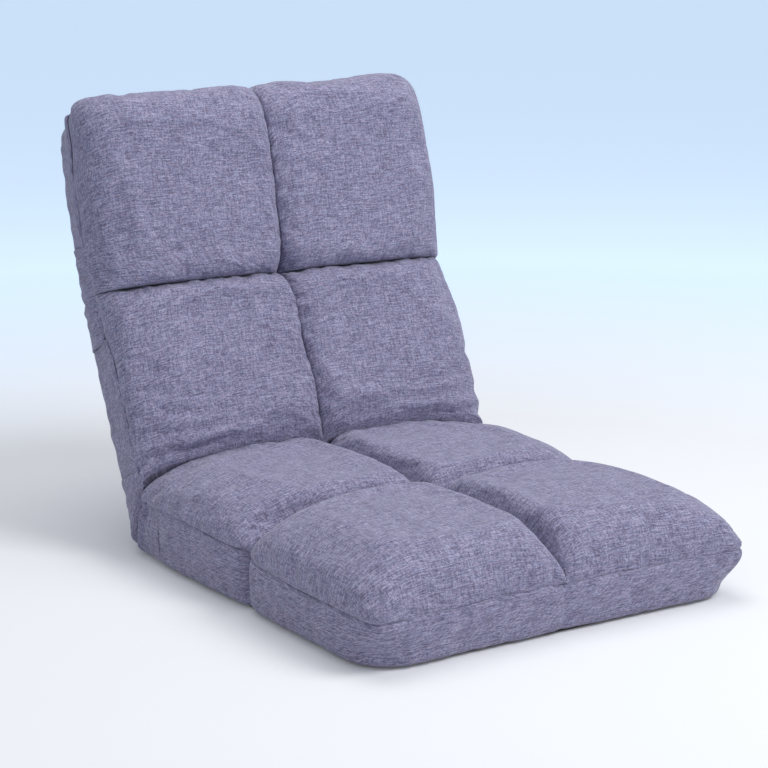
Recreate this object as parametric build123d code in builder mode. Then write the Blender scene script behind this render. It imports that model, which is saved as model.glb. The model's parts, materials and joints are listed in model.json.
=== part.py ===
from build123d import *
import math
import os

# A folding floor chair: seat, back and head section, joined by ratchet hinges
# at the waist and the head fold. Millimetres and degrees.
# X runs across the chair, the sitter faces -Y, +Z is up, and the origin is on
# the floor under the middle of the seat. Left and right are the sitter's.

# ---- Driving dimensions: the whole chair ------------------------------------
chair_width = 520.0  # across the side seams
seat_length = 545.0  # front seam to the waist axis
back_length = 300.0  # waist axis to the head axis
head_length = 250.0  # head axis to the top seam
axis_height = 34.0  # waist axis above the floor
back_recline = 25.0  # back from the vertical
head_recline = 15.0  # head section from the vertical

# ---- Driving dimensions: cover, foam and cushions ---------------------------
band_height = 52.0  # height of the sewn side band
crown_height = 118.0  # floor to the top of a seat cushion
skin = 2.0  # quilted cover cloth
panel_thickness = 2.5  # underside and rear panels
soft_gap = 0.3  # between soft pieces
swell = 4.0  # how far a band bows out between its tufts
cover_corner = 38.0  # corner radius of the cover, seen square on
fold_reach = 62.0  # from an axis to where band and panel begin
foam_step = 4.0  # foam begins this far past the band's end
fold_clearance = 38.0  # free radius round a hinge axis under the cushions
gusset_dip = 14.0  # gusset's top edge below that
centre_dip = 15.0  # centre channel below the crown
side_rise = 31.0  # where a cushion's side turns into its crown
side_round = 15.0  # how far the side leans in over that rise
side_swell = 5.0  # how far the side bows out
tuft_draw = 3.0  # how far a cushion's side is drawn in at a channel or fold
crown_reach = 84.0  # from a cushion's end to its full crown
shoulder_reach = 24.0  # from a channel to where the crown has nearly risen
shoulder_fullness = 0.86  # share of the full crown there
channel_fullness = 0.56  # in a sewn channel
waist_fullness = 0.82  # in the fold at the waist
waist_contact = 72.0  # seat to where its cushions press on the back's
head_fullness = 0.46  # in the fold under the head section
edge_fullness = 0.52  # near the front and top seams
hem_fullness = 0.2  # at those seams

# ---- Driving dimensions: tubes and webbing ----------------------------------
tube_diameter = 19.0
tube_wall = 1.2
tube_bend = 60.0  # centre line radius of a bend
cross_diameter = 16.0
side_inset = 32.0  # side seam to the middle of a rail
end_inset = 24.0  # front or top seam to the middle of the bent tube
weld_gap = 0.1
overrun = 1.0  # how far a cut runs past what it cuts
strap_width = 50.0
strap_thickness = 1.5
strap_gap = 0.15
channel_gap = 1.0  # round the straps' loops in the foam

# ---- Driving dimensions: ratchet hinges -------------------------------------
cheek_radius = 27.0
cheek_thickness = 2.0
plate_thickness = 4.0
side_play = 0.5  # between the ratchet plate and a cheek
neck_fillet = 9.0
neck_end = 38.0  # axis to where a cheek begins to turn half-round
tube_start = 50.0  # axis to the end of a tube
socket_start = 48.0  # axis to the half-round socket
socket_length = 32.0
socket_wall = 1.8
socket_slit = 0.8  # between the two half-round sockets
socket_gap = 0.15
socket_rivet_place = 59.0
pivot_radius = 4.0
pivot_head = 7.5
pin_radius = 2.5
pin_head = 4.2
head_thickness = 1.6
running_gap = 0.06  # radial, in a hole that turns on its pin
fixed_gap = 0.03  # radial, in a riveted hole
root_radius = 20.4
tip_radius = 22.2
lobe_radius = 22.8  # lifts the pawl when the fold is closed
tooth_pitch = 10.0
tooth_foot = 2.5  # flat bottom of a gap, in degrees
tooth_land = 1.5  # flat tip of a tooth, in degrees
lobe_span = 18.0
tang_reach = 94.0  # axis to the end of the tang
tang_rivet_place = 74.0
tang_gap = 0.3
pawl_x = 30.0  # pawl pin from the axis, along the fixed tube
pawl_y = -7.0
pawl_boss = 5.0
pawl_depth = 5.6  # depth of the pawl behind its nose
pawl_lift = 10.0  # from engaged to clear of the teeth
nose_angle = -50.0  # where the pawl meets the teeth
nose_gap = 0.3
face_gap = 0.4  # tooth face to pawl nose, engaged: the nose swings past it
post_x = 33.0  # spring post from the axis
post_y = 5.5
spring_thickness = 0.7
spring_tail = 3.0
spring_gap = 0.15
waist_open_steps = 5  # ratchet positions flatter than the pose shown
waist_closed_steps = 7
head_open_steps = 0
head_closed_steps = 7

# ---- Driving dimensions: zip across the rear of the back --------------------
zip_place = 118.0  # from the waist axis
zip_margin = 65.0  # side seam to the end of the zip
zip_slot = 9.0
tape_width = 15.0
tape_thickness = 0.8
coil_width = 3.6
coil_height = 1.2
slider_length = 12.0
slider_width = 7.6
slider_wall = 1.2
slider_gap = 0.2

# ---- Derived sizes ----------------------------------------------------------
tube_radius = tube_diameter / 2
bore_radius = tube_radius - tube_wall
rail_x = chair_width / 2 - side_inset
zip_length = chair_width - 2 * zip_margin
floor_level = -axis_height  # levels are measured from the plane of the tubes
band_top = band_height - axis_height
pad_level = band_top + soft_gap
full_rise = crown_height - axis_height - pad_level
strap_inner = tube_radius + strap_gap
strap_outer = strap_inner + strap_thickness
foam_bottom = floor_level + panel_thickness + soft_gap
socket_inner = tube_radius + socket_gap
socket_outer = socket_inner + socket_wall
hard_outer = max(strap_outer, socket_outer)
channel_bottom = -hard_outer - soft_gap
foam_top = strap_inner - soft_gap
slab_bottom = hard_outer + soft_gap
foam_start = fold_reach + foam_step
cheek_inside = plate_thickness / 2 + side_play
cheek_outside = cheek_inside + cheek_thickness
tang_half = math.sqrt((bore_radius - tang_gap) ** 2 - (plate_thickness / 2) ** 2)
spring_width = plate_thickness - side_play
gusset_top = fold_clearance - gusset_dip
face_slack = math.degrees(face_gap / root_radius)


# ---- Planes of the three sections -------------------------------------------
def section_plane(origin, recline):
    """Plane of a leaning section: x across, y up its length, z to the sitter."""
    lean = math.radians(recline)
    return Plane(origin=origin, x_dir=(1, 0, 0), z_dir=(0, -math.cos(lean), math.sin(lean)))


waist_axis = Vector(0, seat_length / 2, axis_height)
seat = Plane(origin=waist_axis, x_dir=(-1, 0, 0), z_dir=(0, 0, 1))
back = section_plane(waist_axis, back_recline)
head_axis = back.from_local_coords(Vector(0, back_length, 0))
head = section_plane(head_axis, head_recline)
back_down = Plane(origin=head_axis, x_dir=(-1, 0, 0), z_dir=back.z_dir)
waist_angle = 90.0 + back_recline  # between seat and back
head_angle = 180.0 - back_recline + head_recline  # between back and head section


def station(section, place, angle=90.0):
    """Plane across a section at a place along it; y rises at an angle to it."""
    tilt = math.radians(angle)
    rise = section.y_dir * math.cos(tilt) + section.z_dir * math.sin(tilt)
    origin = section.from_local_coords(Vector(0, place, 0))
    return Plane(origin=origin, x_dir=section.x_dir, z_dir=section.x_dir.cross(rise))


def along(section, place, x=0.0):
    """Plane square to a section's length, with its origin on a rail or the middle."""
    origin = section.from_local_coords(Vector(x, place, 0))
    return Plane(origin=origin, x_dir=section.x_dir, z_dir=section.y_dir)


def crosswise(section, place):
    """Plane square to the chair's width, with x along the section and y to the sitter."""
    origin = section.from_local_coords(Vector(0, place, 0))
    return Plane(origin=origin, x_dir=section.y_dir, z_dir=section.x_dir)


def polar(radius, angle):
    """Point at a radius and an angle in degrees."""
    turn = math.radians(angle)
    return (radius * math.cos(turn), radius * math.sin(turn))


def save(part, label):
    """Label a finished piece and write it."""
    part.label = label
    export_step(part, f"parts/{label}.step")


os.makedirs("parts", exist_ok=True)


# ---- Cover outlines, bands, panels and foam ---------------------------------
def outline(section, level, start, end, inset=0.0, tufts=(), closed=True):
    """Cover seen square on: shallow arcs that are drawn in at the tufts."""
    half = chair_width / 2 - inset
    far = end - inset if closed else end
    stops = [start, *tufts, far]
    with BuildSketch(section.offset(level)) as face:
        with BuildLine():
            for near, beyond in zip(stops, stops[1:]):
                middle = (near + beyond) / 2
                ThreePointArc((half, near), (half + swell, middle), (half, beyond))
                ThreePointArc((-half, near), (-half - swell, middle), (-half, beyond))
            if closed:
                ThreePointArc((-half, far), (-half / 2, far + swell), (0, far))
                ThreePointArc((0, far), (half / 2, far + swell), (half, far))
            else:
                Line((half, far), (-half, far))
            Line((-half, start), (half, start))
        make_face()
        if closed:
            front = face.vertices().group_by(Axis.Y)[-1].sort_by(Axis.X)
            fillet([front[0], front[-1]], cover_corner - inset)
    return face.sketch


def band(section, start, end, tufts=(), closed=True):
    """Side band: the wall between two outlines, open where the section folds."""
    past = end if closed else end + overrun
    with BuildPart() as wall:
        extrude(outline(section, floor_level, start, end, 0.0, tufts, closed), amount=band_height)
        hollow = outline(section, floor_level, start - overrun, past, skin, tufts, closed)
        extrude(hollow, amount=band_height, mode=Mode.SUBTRACT)
    return wall.part


def panel(section, start, end, tufts=(), closed=True):
    """Flat underside or rear panel inside the band."""
    with BuildPart() as cloth:
        inset = skin + soft_gap
        face = outline(section, floor_level, start, end, inset, tufts, closed)
        extrude(face, amount=panel_thickness)
    return cloth.part


def rail_path(section, end):
    """Centre line of a U-shaped frame: two rails joined by a bent front or top."""
    with BuildLine(section) as path:
        FilletPolyline(
            (rail_x, tube_start),
            (rail_x, end - end_inset),
            (-rail_x, end - end_inset),
            (-rail_x, tube_start),
            radius=tube_bend,
        )
    return path.line


def frame_foam(section, start, end, crossings, tufts=(), rails=None, closed=True):
    """Foam block with channels cut for the rails and the cross tubes."""
    half_channel = hard_outer + channel_gap
    depth = foam_top - channel_bottom
    with BuildPart() as block:
        inset = skin + soft_gap
        face = outline(section, foam_bottom, start, end, inset, tufts, closed)
        extrude(face, amount=foam_top - foam_bottom)
        if rails is None:
            with BuildSketch(section.offset(channel_bottom)):
                with Locations((rail_x, (start + end) / 2), (-rail_x, (start + end) / 2)):
                    Rectangle(2 * half_channel, end - start + 2 * foam_step)
            extrude(amount=depth, mode=Mode.SUBTRACT)
        else:
            with BuildSketch(along(section, tube_start, rail_x)):
                with Locations((0, -(channel_bottom + foam_top) / 2)):
                    Rectangle(2 * half_channel, depth)
            sweep(path=rails, mode=Mode.SUBTRACT)
        for place in crossings:
            with BuildSketch(section.offset(channel_bottom)):
                with Locations((0, place)):
                    Rectangle(2 * rail_x, cross_diameter + 2 * channel_gap)
            extrude(amount=depth, mode=Mode.SUBTRACT)
    return block.part


def pad_foam(section, start, end, tufts=(), closed=True):
    """Foam slab over the webbing, level with the band."""
    with BuildPart() as slab:
        inset = skin + soft_gap
        face = outline(section, slab_bottom, start, end, inset, tufts, closed)
        extrude(face, amount=band_top - slab_bottom)
    return slab.part


# ---- Cushions ----------------------------------------------------------------
def cushion_face(plane, side, base, fullness, draw, rise=full_rise):
    """One section of a cushion: flat base, bowed side, crown, and centre seam."""
    inner = side * soft_gap / 2
    outer = side * (chair_width / 2 - skin / 2 - draw)
    edge = base + side_rise * fullness
    shoulder = outer - side * side_round * fullness
    crown = base + rise * fullness
    seam = base + (rise - centre_dip) * fullness
    waist_of_side = (base + edge) / 2
    with BuildSketch(plane) as face:
        with BuildLine():
            Line((inner, base), (outer, base))
            ThreePointArc(
                (outer, base),
                ((outer + shoulder) / 2 + side * side_swell * fullness, waist_of_side),
                (shoulder, edge),
            )
            ThreePointArc((shoulder, edge), ((inner + shoulder) / 2, crown), (inner, seam))
            Line((inner, seam), (inner, base))
        make_face()
    return face.sketch


def cushion(section, side, stations):
    """Cushion lofted through its sections: place, angle, base, fullness and draw-in."""
    with BuildPart() as pad:
        loft(
            [
                cushion_face(station(section, place, angle), side, base, fullness, draw)
                for place, angle, base, fullness, draw in stations
            ]
        )
        split(bisect_by=section.offset(pad_level), keep=Keep.TOP)
    return pad.part


def upright(place, fullness, draw=0.0):
    """Section of a cushion that stands square on the band."""
    return (place, 90.0, pad_level, fullness, draw)


def fold_end(axis_place, contact, direction, fullness):
    """Sections of a cushion that ends in a fold, at an angle to its own section."""
    angle = contact if direction > 0 else 180.0 - contact
    lean = (90.0 + angle) / 2
    slip = direction * soft_gap / 2 / math.sin(math.radians(contact))
    near = axis_place + slip
    deep = axis_place + direction * (fold_reach - foam_step)
    return [
        (near, angle, fold_clearance, fullness, tuft_draw),
        (deep, lean, pad_level, (1.0 + shoulder_fullness) / 2, tuft_draw),
    ]


def channel_end(place, direction):
    """Sections of a cushion that ends in a sewn channel across the chair."""
    return [
        upright(place + direction * crown_reach, 1.0),
        upright(place + direction * shoulder_reach, shoulder_fullness, tuft_draw / 2),
        upright(place + direction * soft_gap / 2, channel_fullness, tuft_draw),
    ]


def seam_end(place, direction):
    """Sections of a cushion that rounds down to the front or top seam."""
    rounding = cover_corner - skin
    return [
        upright(place + direction * crown_reach, 1.0),
        upright(place + direction * cover_corner, shoulder_fullness, tuft_draw / 2),
        upright(place + direction * cover_corner / 4, edge_fullness, rounding / 2),
        upright(place + direction * skin, hem_fullness, rounding),
    ]


# ---- Tubes and webbing -------------------------------------------------------
def tube_face(plane, radius, bore):
    """Round tube section."""
    with BuildSketch(plane) as face:
        Circle(radius)
        Circle(bore, mode=Mode.SUBTRACT)
    return face.sketch


def drill(section, places):
    """Cross holes through both rails for rivets, cut from the part being built."""
    for place in places:
        with BuildSketch(crosswise(section, place)) as hole:
            Circle(pin_radius + fixed_gap)
        extrude(hole.sketch, amount=chair_width / 2, both=True, mode=Mode.SUBTRACT)


def bent_frame(section, path, rivet_place):
    """U-shaped frame tube, drilled where its hinges are riveted."""
    with BuildPart() as frame:
        face = tube_face(along(section, tube_start, rail_x), tube_radius, bore_radius)
        sweep(face, path=path)
        drill(section, (rivet_place,))
    return frame.part


def back_tube(side):
    """Straight side tube of the back, from the waist tang to the head sockets."""
    with BuildPart() as tube:
        face = tube_face(along(back, tube_start, side * rail_x), tube_radius, bore_radius)
        extrude(face, amount=back_length - 2 * tube_start)
        drill(back, (tang_rivet_place, back_length - socket_rivet_place))
    return tube.part


def cross_tubes(section, places):
    """Cross tubes with ends saddled to the rails."""
    with BuildPart() as tubes:
        for place in places:
            radius = cross_diameter / 2
            face = tube_face(crosswise(section, place), radius, radius - tube_wall)
            extrude(face, amount=rail_x, both=True)
        for x in (rail_x, -rail_x):
            with BuildSketch(along(section, tube_start, x)):
                Circle(tube_radius + weld_gap)
            extrude(amount=places[-1] + cross_diameter, mode=Mode.SUBTRACT)
    return tubes.part


def webbing(section, places):
    """Elastic straps across the rails, each end sewn in a loop round its rail."""
    with BuildPart() as straps:
        for place in places:
            with BuildSketch(along(section, place)):
                with Locations((0, -(strap_inner + strap_outer) / 2)):
                    Rectangle(2 * rail_x, strap_thickness)
                with Locations((rail_x, 0), (-rail_x, 0)):
                    Circle(strap_outer)
                with Locations((rail_x, 0), (-rail_x, 0)):
                    Circle(strap_inner, mode=Mode.SUBTRACT)
            extrude(amount=strap_width / 2, both=True)
    return straps.part


# ---- Ratchet hinge -----------------------------------------------------------
def hinge_plane(fixed, side):
    """Plane of one hinge: x along the fixed tube, y to the cushions, z across."""
    origin = fixed.origin + Vector(side * rail_x, 0, 0)
    return Plane(origin=origin, x_dir=fixed.y_dir, z_dir=fixed.x_dir)


def trough(neck, half, flat_top):
    """Solid that runs from a flat-topped channel into a half-round socket."""
    lip = socket_slit / 2
    with BuildSketch(neck) as near:
        with BuildLine():
            Line((-half, lip), (half, lip))
            Line((half, lip), (half, flat_top))
            Line((half, flat_top), (-half, flat_top))
            Line((-half, flat_top), (-half, lip))
        make_face()
    with BuildSketch(neck.offset(socket_start - neck_end)) as far:
        with BuildLine():
            Line((-half, lip), (half, lip))
            Line((half, lip), (half, 2 * lip))
            ThreePointArc((half, 2 * lip), (0, half), (-half, 2 * lip))
            Line((-half, 2 * lip), (-half, lip))
        make_face()
    with BuildPart() as form:
        loft([near.sketch, far.sketch])
        extrude(far.sketch, amount=socket_length)
    return form.part


def cheek(hinge, hand):
    """Stamped cheek: a disc and neck that turns into a half-round socket."""
    face = Plane(origin=hinge.origin, x_dir=hinge.x_dir, z_dir=hinge.z_dir * hand)
    neck_start = face.from_local_coords(Vector(neck_end, 0, 0))
    neck = Plane(origin=neck_start, x_dir=face.y_dir, z_dir=face.x_dir)
    with BuildPart() as plate:
        with BuildSketch(face.offset(cheek_inside)) as blank:
            Circle(cheek_radius)
            with Locations((neck_end / 2, 0)):
                Rectangle(neck_end, 2 * socket_outer)
            shoulder_x = math.sqrt(cheek_radius**2 - socket_outer**2)
            shoulders = blank.vertices().filter_by(lambda v: abs(v.X - shoulder_x) < weld_gap)
            fillet(shoulders, neck_fillet)
            Circle(pivot_radius + fixed_gap, mode=Mode.SUBTRACT)
            with Locations((pawl_x, hand * pawl_y), (post_x, hand * post_y)):
                Circle(pin_radius + fixed_gap, mode=Mode.SUBTRACT)
        extrude(amount=cheek_thickness)
        add(trough(neck, socket_outer, cheek_outside))
        add(trough(neck, socket_inner, cheek_inside), mode=Mode.SUBTRACT)
        with BuildSketch(face):
            with Locations((socket_rivet_place, 0)):
                Circle(pin_radius + fixed_gap)
        extrude(amount=socket_outer + socket_gap, mode=Mode.SUBTRACT)
    return plate.part


def ratchet_plate(hinge, moving, rest_angle, open_steps, closed_steps):
    """Toothed plate with its release lobe, and the tang that enters the moving tube."""
    arm = Plane(origin=hinge.origin, x_dir=moving.y_dir, z_dir=hinge.z_dir)
    meeting = nose_angle - rest_angle - face_slack
    first = meeting - open_steps * tooth_pitch
    count = open_steps + closed_steps + 2
    last = first + (count - 1) * tooth_pitch
    foot_radius = root_radius - nose_gap
    with BuildPart() as plate:
        with BuildSketch(arm.offset(-plate_thickness / 2)) as blank:
            Circle(root_radius)
            with PolarLocations(0, count, first, (count - 1) * tooth_pitch, endpoint=True):
                Polygon(
                    polar(foot_radius, tooth_foot - tooth_pitch),
                    polar(tip_radius, -tooth_land),
                    polar(tip_radius, 0),
                    polar(foot_radius, 0),
                    align=None,
                )
            with BuildLine():
                Line((0, 0), polar(lobe_radius, last - tooth_land))
                ThreePointArc(
                    polar(lobe_radius, last - tooth_land),
                    polar(lobe_radius, last - tooth_land + lobe_span / 2),
                    polar(lobe_radius, last - tooth_land + lobe_span),
                )
                Line(polar(lobe_radius, last - tooth_land + lobe_span), (0, 0))
            make_face()
            with Locations((tang_reach / 2, 0)):
                Rectangle(tang_reach, 2 * tang_half)
            fillet(blank.vertices().group_by(Axis.X)[-1], tang_half / 2)
            Circle(pivot_radius + running_gap, mode=Mode.SUBTRACT)
            with Locations((tang_rivet_place, 0)):
                Circle(pin_radius + fixed_gap, mode=Mode.SUBTRACT)
        extrude(amount=plate_thickness)
    return plate.part


def pawl(hinge):
    """Pawl, shown lifted clear of the teeth: boss, strut and undercut nose."""
    pin = hinge.from_local_coords(Vector(pawl_x, pawl_y, 0))
    lift = math.radians(pawl_lift)
    lifted_x = hinge.x_dir * math.cos(lift) + hinge.y_dir * math.sin(lift)
    plane = Plane(origin=pin, x_dir=lifted_x, z_dir=hinge.z_dir)
    centre = Vector(pawl_x, pawl_y)
    nose_radius = root_radius + nose_gap
    undercut = nose_angle + tooth_pitch - tooth_land - face_slack
    nose = Vector(*polar(nose_radius, nose_angle)) - centre
    aside = Vector(-nose.Y, nose.X).normalized() * pawl_boss
    with BuildPart() as plate:
        with BuildSketch(plane.offset(-plate_thickness / 2)):
            Circle(pawl_boss)
            Polygon(
                nose,
                Vector(*polar(nose_radius + pawl_depth, nose_angle)) - centre,
                aside,
                -aside,
                Vector(*polar(lobe_radius + nose_gap, undercut + tooth_land)) - centre,
                Vector(*polar(tip_radius + nose_gap, undercut)) - centre,
                Vector(*polar(nose_radius, nose_angle + tooth_foot - face_slack)) - centre,
                align=None,
            )
            Circle(pin_radius + running_gap, mode=Mode.SUBTRACT)
        extrude(amount=plate_thickness)
    return plate.part


def pawl_spring(hinge):
    """Hairpin strip round its post, pressing on the pawl's boss to hold it put."""
    post = Vector(post_x, post_y)
    boss = Vector(pawl_x, pawl_y)
    wrap_radius = pin_radius + spring_gap + spring_thickness / 2
    press_radius = pawl_boss + spring_gap + spring_thickness / 2
    reach = boss - post
    share = (wrap_radius - press_radius) / reach.length
    ahead = reach.normalized()
    aside = Vector(-ahead.Y, ahead.X)
    normal = ahead * share + aside * math.sqrt(1 - share**2)
    leave = post + normal * wrap_radius
    touch = boss + normal * press_radius
    tail = touch + (touch - leave).normalized() * spring_tail
    start = post - Vector(wrap_radius, 0)
    crest = post + Vector(0, wrap_radius)
    with BuildPart() as spring:
        with BuildSketch(hinge.offset(-spring_width / 2)):
            with BuildLine():
                Line(start - Vector(0, spring_tail), start)
                ThreePointArc(start, crest, leave)
                Line(leave, tail)
            trace(line_width=spring_thickness)
        extrude(amount=spring_width)
    return spring.part


def rivet(hinge, x, y, radius, head, grip):
    """Round rivet with two flat heads, added to the part being built."""
    with BuildSketch(hinge.offset(-grip)) as shank:
        with Locations((x, y)):
            Circle(radius)
    extrude(shank.sketch, amount=2 * grip)
    for level in (-grip - head_thickness, grip):
        with BuildSketch(hinge.offset(level)) as cap:
            with Locations((x, y)):
                Circle(head)
        extrude(cap.sketch, amount=head_thickness)


# ---- Fold covers and zip -----------------------------------------------------
def fold_cover(fixed, moving):
    """Cloth over a fold: a strip round the rear and a gusset at each side."""
    middle = (fixed.z_dir + moving.z_dir).normalized()
    reach = fold_reach - soft_gap

    def point(section, place, level):
        spot = section.from_local_coords(Vector(0, place, level))
        return (spot.Y, spot.Z)

    def bend(level):
        spot = fixed.origin + middle * level
        return (spot.Y, spot.Z)

    inner_level = floor_level + skin
    with BuildPart() as cover:
        with BuildSketch(Plane.YZ):
            with BuildLine():
                Line(point(fixed, reach, floor_level), point(fixed, 0, floor_level))
                ThreePointArc(
                    point(fixed, 0, floor_level), bend(floor_level), point(moving, 0, floor_level)
                )
                Line(point(moving, 0, floor_level), point(moving, reach, floor_level))
                Line(point(moving, reach, floor_level), point(moving, reach, inner_level))
                Line(point(moving, reach, inner_level), point(moving, 0, inner_level))
                ThreePointArc(
                    point(moving, 0, inner_level), bend(inner_level), point(fixed, 0, inner_level)
                )
                Line(point(fixed, 0, inner_level), point(fixed, reach, inner_level))
                Line(point(fixed, reach, inner_level), point(fixed, reach, floor_level))
            make_face()
        extrude(amount=chair_width / 2, both=True)
        for side in (1, -1):
            with BuildSketch(Plane.YZ.offset(side * (chair_width / 2 - skin))):
                with BuildLine():
                    Line(point(fixed, reach, floor_level), point(fixed, 0, floor_level))
                    ThreePointArc(
                        point(fixed, 0, floor_level),
                        bend(floor_level),
                        point(moving, 0, floor_level),
                    )
                    Line(point(moving, 0, floor_level), point(moving, reach, floor_level))
                    Line(point(moving, reach, floor_level), point(moving, reach, band_top))
                    Line(point(moving, reach, band_top), bend(gusset_top))
                    Line(bend(gusset_top), point(fixed, reach, band_top))
                    Line(point(fixed, reach, band_top), point(fixed, reach, floor_level))
                make_face()
            extrude(amount=side * skin)
    return cover.part


def zip_slot_cut(level, depth, length, width, rounded):
    """Long cut across the rear of the back, from a level inwards."""
    with BuildSketch(back.offset(level)) as cut:
        with Locations((0, zip_place)):
            if rounded:
                SlotOverall(length, width)
            else:
                Rectangle(length, width)
    extrude(cut.sketch, amount=depth, mode=Mode.SUBTRACT)


# ---- Seat --------------------------------------------------------------------
seat_tuft = seat_length / 2
seat_tufts = (seat_tuft,)
rail_run = seat_length - end_inset - tube_start
seat_crossings = (tube_start + rail_run / 3, tube_start + rail_run * 2 / 3)
socket_end = socket_start + socket_length
bend_start = seat_length - end_inset - tube_bend
seat_straps = (
    (socket_end + seat_crossings[0]) / 2,
    (seat_crossings[0] + seat_crossings[1]) / 2,
    (seat_crossings[1] + bend_start) / 2,
)
seat_path = rail_path(seat, seat_length)

save(bent_frame(seat, seat_path, socket_rivet_place), "seat_frame_tube")
save(cross_tubes(seat, seat_crossings), "seat_cross_tubes")
save(webbing(seat, seat_straps), "seat_webbing")
save(panel(seat, fold_reach, seat_length, seat_tufts), "seat_bottom_panel")
save(band(seat, fold_reach, seat_length, seat_tufts), "seat_side_band")
save(
    frame_foam(seat, foam_start, seat_length, seat_crossings, seat_tufts, seat_path),
    "seat_bottom_foam",
)
save(pad_foam(seat, foam_start, seat_length, seat_tufts), "seat_top_foam")

for name, side in (("left", 1), ("right", -1)):
    rear = fold_end(0, waist_contact, 1, waist_fullness) + channel_end(seat_tuft, -1)
    front = list(reversed(channel_end(seat_tuft, 1))) + seam_end(seat_length, -1)
    save(cushion(seat, -side, rear), f"seat_rear_{name}_cushion")
    save(cushion(seat, -side, front), f"seat_front_{name}_cushion")

# ---- Back --------------------------------------------------------------------
back_end = back_length - fold_reach
back_crossing = back_length / 2
back_straps = (
    (tang_rivet_place + pin_head + back_crossing) / 2,
    (back_crossing + back_length - socket_end) / 2,
)
recess = tape_thickness + 2 * soft_gap

for name, side in (("left", 1), ("right", -1)):
    save(back_tube(side), f"back_{name}_tube")
save(cross_tubes(back, (back_crossing,)), "back_cross_tube")
save(webbing(back, back_straps), "back_webbing")
save(band(back, fold_reach, back_end, (), False), "back_side_bands")
save(pad_foam(back, foam_start, back_end - foam_step, (), False), "back_front_foam")

with BuildPart() as back_rear_panel:
    add(panel(back, fold_reach, back_end, (), False))
    zip_slot_cut(floor_level, panel_thickness, zip_length, zip_slot, True)
save(back_rear_panel.part, "back_rear_panel")

with BuildPart() as back_rear_foam:
    add(frame_foam(back, foam_start, back_end - foam_step, (back_crossing,), closed=False))
    zip_slot_cut(foam_bottom, recess, zip_length + tape_width, tape_width + 2 * soft_gap, False)
save(back_rear_foam.part, "back_rear_foam")

for name, side in (("left", 1), ("right", -1)):
    lower = fold_end(0, waist_angle - waist_contact, 1, waist_fullness)
    crown = [upright(back_length / 2, 1.0)]
    upper = list(reversed(fold_end(back_length, head_angle / 2, -1, head_fullness)))
    save(cushion(back, side, lower + crown + upper), f"back_{name}_cushion")

# ---- Head section ------------------------------------------------------------
head_path = rail_path(head, head_length)
head_bend_start = head_length - end_inset - tube_bend
head_straps = ((tang_rivet_place + pin_head + head_bend_start) / 2,)

save(bent_frame(head, head_path, tang_rivet_place), "head_frame_tube")
save(webbing(head, head_straps), "head_webbing")
save(panel(head, fold_reach, head_length), "head_rear_panel")
save(band(head, fold_reach, head_length), "head_side_band")
save(frame_foam(head, foam_start, head_length, (), (), head_path), "head_rear_foam")
save(pad_foam(head, foam_start, head_length), "head_front_foam")

for name, side in (("left", 1), ("right", -1)):
    stations = fold_end(0, head_angle / 2, 1, head_fullness) + seam_end(head_length, -1)
    save(cushion(head, side, stations), f"head_{name}_cushion")

# ---- Folds: hinges and cloth covers ------------------------------------------
folds = (
    ("waist", seat, back, waist_angle, waist_open_steps, waist_closed_steps),
    ("head", back_down, head, head_angle, head_open_steps, head_closed_steps),
)
for fold, fixed, moving, angle, open_steps, closed_steps in folds:
    hinges = [hinge_plane(fixed, 1), hinge_plane(fixed, -1)]
    for name, side, hinge in zip(("left", "right"), (1, -1), hinges):
        save(cheek(hinge, -side), f"{fold}_{name}_outer_cheek")
        save(cheek(hinge, side), f"{fold}_{name}_inner_cheek")
        save(
            ratchet_plate(hinge, moving, angle, open_steps, closed_steps),
            f"{fold}_{name}_ratchet_plate",
        )
        save(pawl(hinge), f"{fold}_{name}_pawl")
    with BuildPart() as springs:
        for hinge in hinges:
            add(pawl_spring(hinge))
    save(springs.part, f"{fold}_pawl_springs")
    with BuildPart() as pivots:
        for hinge in hinges:
            rivet(hinge, 0, 0, pivot_radius, pivot_head, cheek_outside)
    save(pivots.part, f"{fold}_pivot_rivets")
    with BuildPart() as pins:
        for hinge in hinges:
            rivet(hinge, pawl_x, pawl_y, pin_radius, pin_head, cheek_outside)
            rivet(hinge, post_x, post_y, pin_radius, pin_head, cheek_outside)
    save(pins.part, f"{fold}_pawl_pins")
    with BuildPart() as socket_rivets:
        for hinge in hinges:
            rivet(hinge, socket_rivet_place, 0, pin_radius, pin_head, socket_outer)
    save(socket_rivets.part, f"{fold}_socket_rivets")
    with BuildPart() as tang_rivets:
        for hinge in hinges:
            arm = Plane(origin=hinge.origin, x_dir=moving.y_dir, z_dir=hinge.z_dir)
            rivet(arm, tang_rivet_place, 0, pin_radius, pin_head, tube_radius)
    save(tang_rivets.part, f"{fold}_tang_rivets")
    save(fold_cover(fixed, moving), f"{fold}_wrap")

# ---- Zip ---------------------------------------------------------------------
coil_length = zip_length - 2 * zip_slot
with BuildPart() as zip_tape:
    with BuildSketch(back.offset(foam_bottom)):
        with Locations((0, zip_place)):
            Rectangle(zip_length + zip_slot, tape_width)
    extrude(amount=tape_thickness)
    with BuildSketch(back.offset(foam_bottom - coil_height)):
        with Locations((0, zip_place)):
            Rectangle(coil_length, coil_width)
    extrude(amount=coil_height)
save(zip_tape.part, "zip_tape")

slider_base = foam_bottom - coil_height - slider_gap - slider_wall
with BuildPart() as zip_slider:
    with BuildSketch(back.offset(slider_base)):
        with Locations(((coil_length - slider_length) / 2, zip_place)):
            RectangleRounded(slider_length, slider_width, slider_width / 4)
    extrude(amount=foam_bottom - slider_gap - slider_base)
    with BuildSketch(back.offset(slider_base + slider_wall)):
        with Locations(((coil_length - slider_length) / 2, zip_place)):
            Rectangle(slider_length, coil_width + 2 * slider_gap)
    extrude(amount=coil_height, mode=Mode.SUBTRACT)
save(zip_slider.part, "zip_slider")
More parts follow.
